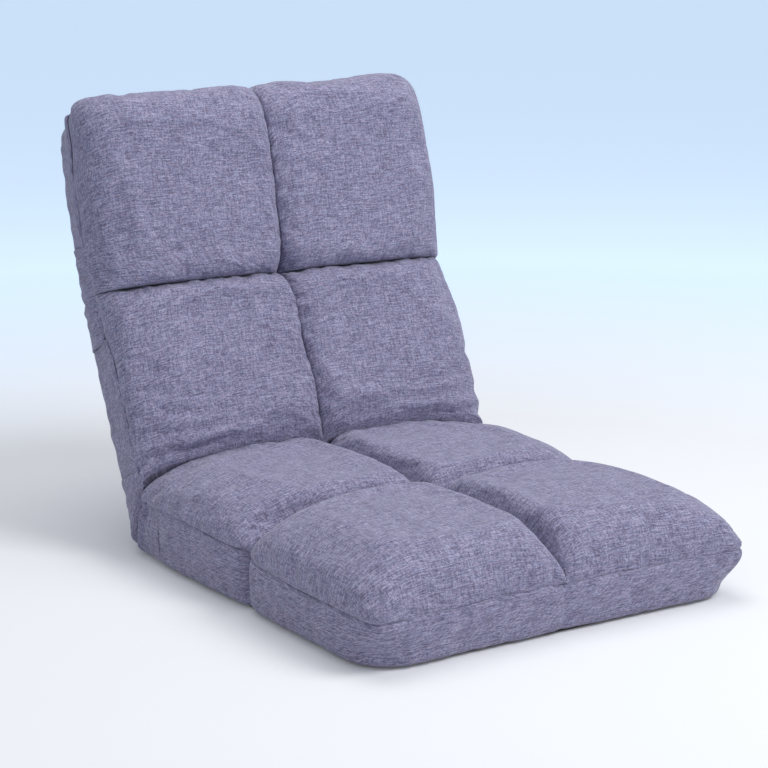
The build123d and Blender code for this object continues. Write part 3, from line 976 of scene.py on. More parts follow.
def seam(rim: Rim, reach: float, fullness: float, bulge: float) -> CushionEnd:
    """End that rounds down to the far seam of the side band.

    Args:
        rim: the section's seam line.
        reach: length of the roll.
        fullness: shape of the roll.
        bulge: how far the roll stands out beyond the seam.

    Returns:
        The end.
    """
    level = float(rim.level(np.zeros(1), np.full(1, rim.length))[0])
    return CushionEnd(
        End.SEAM, rim.length, level, reach, fullness, foot=rim.length, bulge=bulge, tufted=0.0,
        cornered=0.0
    )


SIDE_PUCKERS = Puckers(height=0.0012, fade=0.022, longest=0.036, shortest=0.016, seed=40)
CENTRE_PUCKERS = Puckers(
    height=0.0010, fade=0.020, longest=0.040, shortest=0.018, seed=60, slant=0.2, start=0.006
)
START_PUCKERS = Puckers(height=0.0012, fade=0.020, longest=0.040, shortest=0.018, seed=90)
END_PUCKERS = Puckers(height=0.0020, fade=0.018, longest=0.038, shortest=0.016, seed=80)


@dataclass
class CushionCover:
    """Crowned cloth cover of one cushion, closed all round.

    The surface is a product of two profiles. A crown line runs along the cushion and
    drops at both ends. Across it, a share rises from the centre seam to 1 on the crown
    and falls to 0 at the side seam, and a point lies at seam + share * (crown - seam).
    Beside a tuft both profiles widen, so that the corner is drawn down.

    Fields:
        name: the cushion's name.
        rim: the section's seam line.
        side: 1 for the sitter's left, -1 for the right.
        start, end: its two ends.
        centre_drop, centre_reach: depth of the centre seam under the crown, and its
            distance from it.
        tuft_drop, tuft_reach: extra depth at a tuft, and how far that goes.
        side_reach, side_fullness: distance from the side seam up to the crown, and the
            shape of that side.
        corner_reach, corner_widening: how far from a fold or channel the outer corners
            are drawn down, and how much longer the side is there.
        seed: for its own unevenness.
        spacing: distance between rows on the crown, before settling.
        crown: height of the crown above the plane of the tubes.
        dome, dome_width: how much the crown rises in its middle, and the height by which
            that is divided for its rise across the cushion.
        bulge: how far the side stands out beyond its seam.
        pinch, pinch_reach: extra depth of the centre seam at the far seam, and how far
            that goes.
        side_notch, valley: shares by which the side is drawn down beside a channel, in a
            wide hollow and in a narrow crease.
        groove: how far the edge is drawn in beside its seams.
        tucks: height of the slanting tucks above the waist.
    """

    name: str
    rim: Rim
    side: int
    start: CushionEnd
    end: CushionEnd
    centre_drop: float = 0.027
    centre_reach: float = 0.046
    tuft_drop: float = 0.018
    tuft_reach: float = 0.026
    side_reach: float = 0.094
    side_fullness: float = 2.2
    corner_reach: float = 0.060
    corner_widening: float = 0.050
    seed: int = 1
    spacing: float = 0.0045
    dome: float = 0.003
    dome_width: float = 0.060
    bulge: float = 0.003
    crown: float = CROWN_LEVEL
    pinch: float = 0.010
    pinch_reach: float = 0.060
    side_notch: float = 0.55
    valley: float = 0.5
    groove: float = 0.0018
    tucks: float = 0.0

    def __post_init__(self) -> None:
        """Works out the whole surface once."""
        self.loop, self.normals = self.rings()

    def ends(self, place: Array) -> tuple[tuple[CushionEnd, Array], ...]:
        """Both ends, each with the distance of every row from it."""
        return (self.start, place - place[0]), (self.end, place[-1] - place)

    def crown_line(self) -> tuple[Array, Array]:
        """Crown line from lip to lip: the start's roll, a straight run and the end's roll.

        Returns:
            Distance and level of each of its points.
        """
        roll_points = 15
        top = self.crown - self.dome
        runs = []
        for end in (self.start, self.end):
            run, rise = roll(roll_points, end.reach, 1.0, end.fullness)
            bow = end.bulge * np.sin(math.pi * rise**0.8)
            runs.append((run - bow, end.level + rise * (top - end.level)))
        first, first_level = self.start.place + runs[0][0], runs[0][1]
        last, last_level = (self.end.place - runs[1][0])[::-1], runs[1][1][::-1]
        count = max(int(round((last[0] - first[-1]) / self.spacing)), 2)
        middle = np.linspace(first[-1], last[0], count + 1)[1:-1]
        place = np.concatenate([first, middle, last])
        level = np.concatenate([first_level, np.full(len(middle), top), last_level])
        share = np.linspace(0, 1, len(place))
        return place, level + self.dome * np.sin(math.pi * share)

    def nearness(self, place: Array, reach: float, field: str) -> Array:
        """How near each row is to the ends.

        Args:
            place: distance of each row from the hinge axis.
            reach: how far an end is felt.
            field: the field of an end that is its value there.

        Returns:
            A column with the ends' values beside them, and 0 away from them.
        """
        near = np.zeros_like(place)
        for end, gap in self.ends(place):
            near = near + getattr(end, field) * np.exp(-((gap / reach) ** 2))
        return near[:, None]

    def at_seam(self, place: Array) -> Array:
        """1 at the far seam, if there is one, and 0 away from it, as a column."""
        if self.end.kind is not End.SEAM:
            return np.zeros((len(place), 1))
        return np.exp(-(((place[-1] - place) / self.pinch_reach) ** 2))[:, None]

    def beside_channel(self, place: Array, reach: float) -> Array:
        """How near each row is to a channel.

        Args:
            place: distance of each row from the hinge axis.
            reach: how far a channel is felt.

        Returns:
            A column, 1 at a channel and 0 away from it.
        """
        near = np.zeros_like(place)
        for end, gap in self.ends(place):
            if end.kind is End.CHANNEL:
                near = near + np.exp(-((gap / reach) ** 2))
        return near[:, None]

    def seam_line(self, place: Array, across: Array) -> tuple[Array, Array]:
        """Where the side wall stands under each row.

        Towards a pressed or sewn end the line bends to that end's own face.

        Args:
            place: distance of each row from the hinge axis.
            across: (rows, columns) distance from the middle of the chair.

        Returns:
            Distance and level of the seam under each point.
        """
        face_bend, seam_bend = 0.055, 0.09
        wall = place[:, None] + 0.0 * across
        level = self.rim.level(np.full_like(across, HALF_WIDTH * self.side), wall)
        for end, gap in self.ends(place):
            pull = (np.clip(1 - gap / face_bend, 0, 1) ** 1.6)[:, None]
            if end.kind is End.SEAM:
                face = np.full_like(wall, end.place)
                rise = self.rim.level(across * self.side, face) - level
                level = level + (np.clip(1 - gap / seam_bend, 0, 1) ** 1.6)[:, None] * rise
            else:
                face = end.face(level)
            wall = wall + pull * (face - wall)
        return wall, level

    def across_profile(self, place: Array) -> tuple[Array, Array, Array]:
        """Columns of the surface: the centre's roll, a flat run and the side's roll.

        Args:
            place: distance of each row from the hinge axis.

        Returns:
            Distance from the middle of the chair, share of the centre's roll and share
            of the side's roll, each (rows, columns) or a row.
        """
        centre_points, flat_points, side_points = 13, 16, 20
        near = self.nearness(place, self.tuft_reach, "tufted")
        corner = self.nearness(place, self.corner_reach, "cornered")
        run, rise = roll(centre_points, 1.0, 1.0, 2.0)
        side_run, side_rise = roll(side_points, 1.0, 1.0, self.side_fullness)
        centre_end = SLIT + self.centre_reach * (1 + 0.15 * near + 0.3 * self.at_seam(place))
        edge_start = HALF_WIDTH - (self.side_reach + self.corner_widening * corner)
        between = np.linspace(0, 1, flat_points + 2)[None, 1:-1]
        across = np.concatenate(
            [
                SLIT + (centre_end - SLIT) * run[None, :],
                centre_end + between * (edge_start - centre_end),
                HALF_WIDTH - ((HALF_WIDTH - edge_start) * side_run)[:, ::-1]
            ],
            axis=1,
        )
        flat = np.ones(between.shape[1])
        centre = np.concatenate([rise, flat, np.ones(len(side_run))])[None, :]
        side = np.concatenate([np.ones(len(run)), flat, side_rise[::-1]])[None, :]
        return across, centre, side

    def drawn_down(self, place: Array, across: Array) -> Array:
        """Draws the side down beside a channel.

        Args:
            place: distance of each row from the hinge axis.
            across: distance of each point from the middle of the chair.

        Returns:
            Share of the height that is left.
        """
        notch = self.side_notch * self.beside_channel(place, 0.024)
        notch = notch * smooth_step((across - 0.13) / 0.11)
        valley = self.valley * self.beside_channel(place, 0.007)
        valley = valley * smooth_step((across - 0.12) / 0.06)
        return np.clip(1 - notch - valley, 0.06, 1)

    def top(self) -> Array:
        """Top surface before its unevenness.

        Returns:
            (rows, columns, 3) across, place and level, across always positive.
        """
        deepest_cut, groove_height = 0.85, 0.0022
        place, level = self.crown_line()
        across, centre, side = self.across_profile(place)
        base_place, base_level = self.seam_line(place, across)
        height = np.maximum(level[:, None] - base_level, 0.0)
        drop = self.centre_drop + self.tuft_drop * self.nearness(place, self.tuft_reach, "tufted")
        drop = drop + self.pinch * self.at_seam(place)
        cut = np.minimum(drop / np.maximum(height, 1e-6), deepest_cut) * (1 - centre)
        arch = 1 + self.dome / self.dome_width * np.sin(math.pi * across / HALF_WIDTH)
        share = (1 - cut) * side * arch * self.drawn_down(place, across)
        path_place = base_place + share * (place[:, None] - base_place)
        path_level = base_level + share * height
        moved, path_place = self.rim.plan(across * self.side, path_place)
        moved = moved * self.side
        corner = self.nearness(place, self.corner_reach, "cornered")
        bowed = self.bulge * np.sin(math.pi * np.clip(1.25 * side, 0, 1)) * (1 - 0.7 * corner)
        bowed = bowed * np.clip(height / 0.03, 0, 1)
        groove = self.groove * np.exp(-share * height / groove_height)
        if self.end.kind is End.SEAM:
            path_place = path_place - groove * (path_place > self.end.foot - 0.02)
        moved = np.where(across > HALF_WIDTH - 0.03, moved - groove, moved)
        return np.stack([moved + bowed, path_place, path_level], axis=-1)

    def unevenness(self, points: Array) -> Array:
        """Soft unevenness, puckers along the seams and slanting tucks above the waist.

        A tuck is a sine wave of the distance from the start, read a little askew.

        Args:
            points: top surface in section coordinates.

        Returns:
            Height of each point's relief.
        """
        tuck_length, tuck_fade = 0.027, 0.036
        across, along = points[..., 0], points[..., 1]
        relief = 0.0012 * waves(across * self.side, along, self.seed, 0.17, 0.06)
        inward = arc_lengths(points[:, ::-1], 1)[:, ::-1]
        relief += SIDE_PUCKERS.relief(along, inward, self.seed)
        relief += CENTRE_PUCKERS.relief(along, arc_lengths(points, 1), self.seed)
        end_puckers = END_PUCKERS
        if self.end.kind is End.SEAM:
            end_puckers = replace(END_PUCKERS, fade=0.030)
        upward = arc_lengths(points[::-1], 0)[::-1]
        relief += end_puckers.relief(across, upward, self.seed)
        onward = arc_lengths(points, 0)
        tucked = np.clip(onward / 0.010, 0, 1) * np.exp(-onward / tuck_fade)
        tucked = tucked * smooth_step((across - 0.05) / 0.17)
        slanted = onward + 0.05 * (HALF_WIDTH - across) + 0.004 * np.sin(across * 40)
        relief += self.tucks * np.sin(math.tau * slanted / tuck_length) * tucked
        relief += START_PUCKERS.relief(across, onward, self.seed)
        return relief

    def held_in(self, top: Array) -> Array:
        """Keeps the surface on its own side of the centre seam and of both end faces.

        Args:
            top: top surface, which is changed.

        Returns:
            The same surface.
        """
        top[..., 0] = np.maximum(top[..., 0], SLIT)
        if self.start.kind is not End.SEAM:
            top[..., 1] = np.maximum(top[..., 1], self.start.face(top[..., 2]) + SLIT)
        if self.end.kind is not End.SEAM:
            top[..., 1] = np.minimum(top[..., 1], self.end.face(top[..., 2]) - SLIT)
        return top

    def settled_top(self) -> Array:
        """Top surface with its unevenness, settled as cloth and refined.

        Returns:
            (rows, columns, 3) across, place and level.
        """
        top = self.top()
        normals = surface_normals(top)
        normals *= np.sign(normals[len(top) // 2, top.shape[1] // 2, 2])
        top = top + normals * self.unevenness(top)[..., None]
        top = SETTLING.even_grid(top)
        top = SETTLING.settle(top)
        return self.held_in(refine(top))

    def under_edges(self, edge: Array) -> tuple[Array, Array]:
        """Edges of the hidden underside, which goes deep beside a fold.

        Args:
            edge: (rows, 3) edge of the top at the side seam.

        Returns:
            Its outer edge inside the side band, and its inner edge at the centre seam.
        """
        skirt, depth, seam_margin, face_margin = 0.006, -0.008, 0.016, 0.0006
        place = edge[:, 1]
        low = edge[:, 2] - skirt
        for end, gap in ((self.start, place - self.start.foot), (self.end, self.end.foot - place)):
            if end.kind is End.FOLD:
                low = low + smooth_step((0.20 - gap) / 0.05) * (depth - low)
        limits = []
        for end, way in ((self.start, 1), (self.end, -1)):
            margin = seam_margin if end.kind is End.SEAM else face_margin
            limits.append(end.face(low) + way * margin)
        place = np.clip(place, *limits)
        across = np.clip(edge[:, 0] - 0.007, 0.001, HALF_WIDTH - 0.009)
        outer = np.stack([across, place, low], -1)
        return outer, np.stack([np.full(len(edge), SLIT), place, low], axis=-1)

    def rings(self) -> tuple[Array, Array]:
        """Closed loops round the cushion: top, wall, underside and centre.

        Returns:
            (rows, columns, 3) points in section coordinates, and their unit normals.
        """
        top = self.settled_top()
        seam_edge, centre_edge = top[:, -1], top[:, 0]
        outer, inner = self.under_edges(seam_edge)
        wall = strip_between(seam_edge, outer, 3)
        under = strip_between(outer, inner, 6)
        rise = strip_between(inner, centre_edge, 3)
        parts = [top, wall, outer[:, None], under, inner[:, None], rise]
        loop = np.concatenate(parts, axis=1)
        wrapped = np.concatenate([loop[:, -1:], loop, loop[:, :1]], axis=1)
        return loop, surface_normals(wrapped)[:, 1:-1]

    def build(
        self, finish: bpy.types.Material, name: str | None = None, first: int = 0,
        last: int | None = None
    ) -> bpy.types.Object:
        """Makes the piece from some of its rows, with the whole cushion's normals.

        Args:
            finish: the cloth.
            name: the piece's name, if it is not the cushion's own.
            first: first row that it has.
            last: row after its last one.

        Returns:
            The piece, not yet bound to a body.
        """
        loop, normals = self.loop, self.normals
        middle = self.crown_column()
        cloth_across = arc_lengths(loop, 1)
        cloth_across -= cloth_across[:, middle : middle + 1]
        cloth_along = arc_lengths(loop, 0)[:, middle : middle + 1] + 0 * cloth_across
        loop, normals, cloth_across, cloth_along = (
            part[first:last] for part in (loop, normals, cloth_across, cloth_along)
        )
        rows, columns = loop.shape[:2]
        section = self.rim.section
        points = section.place(loop[..., 0] * self.side, loop[..., 1], loop[..., 2])
        faces = grid_faces(rows, columns, wrap=True).tolist()
        faces.append(list(range(columns)))
        faces.append(list(range((rows - 1) * columns, rows * columns)))
        offset = np.array([0.5 + 0.31 * self.seed, 0.2 + 0.17 * self.seed])
        uv = np.stack([cloth_across * self.side, cloth_along], axis=-1).reshape(-1, 2) + offset
        piece = make_piece(name or self.name, points.reshape(-1, 3), faces, uv, flat_faces=2)
        face_outwards(piece)
        keep_normals(piece, section.turn(normals * [self.side, 1, 1]).reshape(-1, 3), caps=2)
        dress(piece, finish)
        log.info("%s has %d rows of %d points", piece.name, rows, columns)
        return piece

    def crown_column(self) -> int:
        """Number of a column that runs along the crown."""
        return self.loop.shape[1] // 3

    def cut_row(self, distance: float) -> int:
        """Number of the row nearest to a distance along the section."""
        return int(np.argmin(np.abs(self.loop[:, self.crown_column(), 1] - distance)))


def strip_between(first: Array, second: Array, count: int) -> Array:
    """Columns of points strictly between two edges.

    Args:
        first: (rows, 3) points of one edge.
        second: the other edge.
        count: number of columns.

    Returns:
        (rows, count, 3) points.
    """
    steps = (np.arange(1, count + 1) / (count + 1))[None, :, None]
    return first[:, None] + steps * (second - first)[:, None]


@dataclass(frozen=True)
class Settling:
    """Lets a surface settle as cloth, pressed from inside and held along its edges.

    The cloth is a little larger than its frame, so it gathers by itself beside the
    seams.

    Fields:
        spacing: size of its cells.
        frames: length of the simulation.
        mass: mass of each vertex.
        pressure: pressure from inside.
        surplus: share by which the cloth is larger than its frame.
        stretch, shear, bending: its stiffnesses.
        damping: how soon its stretching dies out.
        drag: how much the air slows it.
        quality: steps per frame.
        limit: longest movement that is kept.
    """

    spacing: float = 0.0045
    frames: int = 20
    mass: float = 0.2
    pressure: float = 1.6
    surplus: float = 0.014
    stretch: float = 25.0
    shear: float = 8.0
    bending: float = 0.8
    damping: float = 10.0
    drag: float = 2.0
    quality: int = 5
    limit: float = 0.0045

    def even_grid(self, points: Array) -> Array:
        """Resamples a grid of points evenly by length, rows first and then columns.

        Args:
            points: (rows, columns, 3) grid.

        Returns:
            A grid of other numbers of rows and columns.
        """
        for axis in (1, 0):
            run = arc_lengths(points, axis)
            last = np.take(run, [-1], axis=axis)
            count = max(int(round(float(np.median(last)) / self.spacing)), 8)
            share = run / np.maximum(last, TINY)
            lines = np.moveaxis(points, axis, -2)
            shares = np.moveaxis(share, axis, -1)
            wanted = np.linspace(0, 1, count + 1)
            even = [
                np.stack([np.interp(wanted, at, line[:, k]) for k in range(3)], axis=-1)
                for at, line in zip(shares, lines)
            ]
            points = np.moveaxis(np.array(even), 0, 1 if axis == 0 else 0)
        return points

    def add_cloth(self, piece: bpy.types.Object, held: list) -> None:
        """Adds the simulation to a mesh object.

        Args:
            piece: the mesh object.
            held: numbers of the vertices that stay where they are.
        """
        piece.vertex_groups.new(name="held").add(held, 1.0, "REPLACE")
        cloth = piece.modifiers.new("cloth", "CLOTH")
        settings = cloth.settings
        settings.quality = self.quality
        settings.mass = self.mass
        settings.air_damping = self.drag
        settings.tension_stiffness = settings.compression_stiffness = self.stretch
        settings.shear_stiffness = self.shear
        settings.bending_stiffness = self.bending
        settings.tension_damping = settings.compression_damping = self.damping
        settings.use_pressure = True
        settings.uniform_pressure_force = self.pressure
        settings.shrink_min = -self.surplus
        settings.vertex_group_mass = "held"
        settings.effector_weights.gravity = 0.0
        cloth.point_cache.frame_start = 1
        cloth.point_cache.frame_end = self.frames

    def settle(self, points: Array) -> Array:
        """Runs the simulation on a grid whose edges are held.

        Args:
            points: (rows, columns, 3) even grid.

        Returns:
            The settled grid, no point further off than the limit.
        """
        rows, columns = points.shape[:2]
        faces = grid_faces(rows, columns)
        normal = surface_normals(points)[rows // 2, columns // 2]
        if normal[2] < 0:
            faces = faces[:, ::-1]
        mesh = bpy.data.meshes.new("settling")
        mesh.from_pydata(points.reshape(-1, 3).tolist(), [], faces.tolist())
        piece = bpy.data.objects.new("settling", mesh)
        scene = bpy.context.scene
        scene.collection.objects.link(piece)
        index = np.arange(rows * columns).reshape(rows, columns)
        edges = np.concatenate([index[0], index[-1], index[:, 0], index[:, -1]])
        self.add_cloth(piece, np.unique(edges).tolist())
        for number in range(1, self.frames + 1):
            scene.frame_set(number)
        evaluated = piece.evaluated_get(bpy.context.evaluated_depsgraph_get())
        settled = np.zeros(rows * columns * 3, np.float32)
        evaluated.data.vertices.foreach_get("co", settled)
        scene.frame_set(1)
        bpy.data.objects.remove(piece)
        bpy.data.meshes.remove(mesh)
        moved = settled.reshape(rows, columns, 3).astype(float) - points
        size = np.linalg.norm(moved, axis=-1, keepdims=True)
        kept = self.limit * np.tanh(size / self.limit)
        return points + moved * kept / np.maximum(size, TINY)


SETTLING = Settling()


# ---- Side bands ----
@dataclass
class SideBand:
    """Sewn side wall of a section: a strip of cloth carried round its rim.

    A point lies between the rim's seam and a foot outline that is drawn in and rounder,
    and is moved along the outline's normal by a profile of the height. The share of the
    height goes from 0 at the seam to 1 under the foot.

    Fields:
        name: the piece's name.
        rim: the seam line that it hangs from.
        start, end: distances between which it runs; the end is the rim's length where it
            goes round the far end.
        side: 1 or -1 for a band on one side only, 0 for one that goes round.
        seed: for its unevenness.
        foot_inset, foot_corner: how far the foot lies inside the seam, and the plan
            radius of its corners.
        under: how far and how high the foot is rolled under.
        bow: how far its middle stands out.
        spacing, rows: distance between its upright lines, and number of the others.
        joins: side and distance of each upright seam in the strip.
        piping: depth of the groove beside the seam above.
    """

    name: str
    rim: Rim
    start: float
    end: float
    side: int = 0
    seed: int = 3
    foot_inset: float = 0.002
    foot_corner: float = 0.058
    under: tuple = (0.012, 0.012)
    bow: float = 0.0022
    spacing: float = 0.0022
    rows: int = 34
    joins: tuple = ()
    piping: float = 0.0024

    def raw_path(self) -> Array:
        """Outline on the plain rectangle, denser round the far corners.

        Returns:
            (n, 2) of across and place.
        """
        half, far = HALF_WIDTH, self.end
        if self.side:
            count = int((far - self.start) / self.spacing) + 1
            place = np.linspace(self.start, far, count)
            return np.stack([np.full(count, half * self.side), place], axis=-1)
        size, lines = 0.07, 56
        count = int((far - size - self.start) / self.spacing)
        straight = np.linspace(self.start, far - size, count)
        turn = far - size + size * np.linspace(0, 1, lines)[1:]
        side = np.concatenate([straight, turn])
        flank = half - size * np.linspace(0, 1, lines)[1:]
        front = np.concatenate([flank, np.linspace(half - size, 0, int(half / self.spacing))[1:]])
        right = np.concatenate(
            [
                np.stack([np.full(len(side), half), side], axis=-1),
                np.stack([front, np.full(len(front), far)], axis=-1)
            ]
        )
        return np.concatenate([right, (right * [-1, 1])[-2::-1]])

    def relief(self, run: Array, share: Array) -> Array:
        """Outward relief of the band: soft unevenness and gathers along both edges.

        Args:
            run: distance along the outline, as a column.
            share: share of the height, as a row.

        Returns:
            Relief of each point.
        """
        height = 0.055 * share
        relief = 0.0011 * waves(run, height * 0.5, self.seed, 0.11, 0.045)
        gathers = waves(run, height * 0.25, self.seed + 9, 0.034, 0.015)
        relief += 0.0019 * gathers * np.exp(-share / 0.45) * np.clip(share / 0.06, 0, 1)
        gathers = waves(run, height * 0.25, self.seed + 17, 0.032, 0.014)
        relief += 0.0012 * gathers * share**1.5
        return relief

    def tuft_folds(self, path: Array, share: Array) -> Array:
        """Upright folds under the tufts, the centre pinch and the seams in the strip.

        A fold is depth * e^(-|gap / width|^1.4), with a low shoulder on each side.

        Args:
            path: the outline on the plain rectangle.
            share: share of the height, as a row.

        Returns:
            Inward depth of each point.
        """
        width, shoulder_place, shoulder_width = 0.0052, 0.017, 0.010
        join_depth, join_width = 0.0012, 0.0022
        depth = np.zeros((len(path), share.shape[1]))
        places = [(path[:, 1] - tuft, 0.0090, 1 - 0.6 * share) for tuft in self.rim.tufts]
        if self.rim.closed:
            at_end = path[:, 1] >= self.rim.length - 1e-6
            gap = np.where(at_end, path[:, 0], 1.0)
            deep = 0.0045 if self.rim.tufts else 0.0012
            places.append((gap, deep, 0.35 + 0.65 * np.exp(-((share / 0.35) ** 2))))
        for gap, deep, fade in places:
            fold = np.exp(-np.abs(gap / width) ** 1.4) * deep
            beside = np.exp(-(((np.abs(gap) - shoulder_place) / shoulder_width) ** 2))
            depth += fold[:, None] * fade - (0.28 * deep * beside)[:, None] * (1 - share)
        for side, place in self.joins:
            gap = np.where(path[:, 0] * side > HALF_WIDTH - 1e-6, path[:, 1] - place, 1.0)
            depth += join_depth * np.exp(-((gap / join_width) ** 2))[:, None]
        return depth

    def offset(self, path: Array, share: Array, wall: Array, turn: Array) -> Array:
        """How far each point stands out from the straight wall.

        Args:
            path: the outline on the plain rectangle.
            share: share of the height, as a row.
            wall: share of the upright part's height.
            turn: angle of the roll under the foot.

        Returns:
            Outward distance of each point.
        """
        inward = self.under[0]
        steps = np.linalg.norm(np.diff(path, axis=0), axis=-1)
        run = np.concatenate([[0.0], np.cumsum(steps)])[:, None]
        edge = path[:, 1:] - self.start
        if self.side:
            edge = np.minimum(edge, self.end - path[:, 1:])
        fade = smooth_step(edge / 0.035)
        offset = fade * self.bow * np.sin(math.pi * wall) - self.piping * np.exp(-share / 0.035)
        offset = offset - inward * (1 - np.cos(turn)) + fade * self.relief(run, share)
        offset = offset - 0.0009 * (1 - smooth_step(edge / 0.006))
        return offset - self.tuft_folds(path, share)

    def build(self, finish: bpy.types.Material) -> bpy.types.Object:
        """Makes the band as a sheet with a wall.

        Args:
            finish: the cloth.

        Returns:
            The piece, bound to its section's body.
        """
        upright = 0.72  # share at which the foot starts to roll under
        path = self.raw_path()
        foot_rim = replace(
            self.rim, corner=max(self.foot_corner, 1e-4), ear=0.0, tuck=self.rim.tuck * 0.25,
            notch=0.0
        )
        seam_plan = np.stack(self.rim.plan(path[:, 0], path[:, 1]), axis=-1)
        foot_plan = np.stack(foot_rim.plan(path[:, 0], path[:, 1]), axis=-1)
        normals = outline_normals(foot_plan, self.side)
        foot_plan = foot_plan - normals * self.foot_inset
        share = np.linspace(0, 1, self.rows)[None, :] ** 1.1
        turn = np.clip((share - upright) / (1 - upright), 0, 1) * math.pi / 2
        wall = np.clip(share / upright, 0, 1)
        height = self.under[1]
        top = self.rim.level(path[:, :1], path[:, 1:])
        level = top - (top - REAR_LEVEL - PANEL_WALL - height) * wall - height * np.sin(turn)
        ease = smooth_step(wall * 0.9)[..., None]
        plan = (1 - ease) * seam_plan[:, None] + ease * foot_plan[:, None]
        moved = plan + normals[:, None] * self.offset(path, share, wall, turn)[..., None]
        section = self.rim.section
        points = section.place(moved[..., 0], moved[..., 1], level).transpose(1, 0, 2)
        facing = np.concatenate([normals, np.zeros((len(normals), 1))], axis=-1)
        piece = sewn_sheet(self.name, points, section.turn(facing)[None], BAND_WALL, 1.7)
        dress(piece, finish)
        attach(piece, section.body)
        return piece


def outline_normals(plan: Array, side: int) -> Array:
    """Unit outward normals of a plan outline.

    Args:
        plan: (n, 2) outline.
        side: 1 or -1 for an outline along one side only, 0 for one that goes round.

    Returns:
        (n, 2) normals.
    """
    if side:
        return np.stack([np.full(len(plan), float(side)), np.zeros(len(plan))], axis=-1)
    run = np.gradient(plan, axis=0)
    normals = np.stack([run[:, 1], -run[:, 0]], axis=-1)
    return normals / np.maximum(np.linalg.norm(normals, axis=-1, keepdims=True), 1e-12)


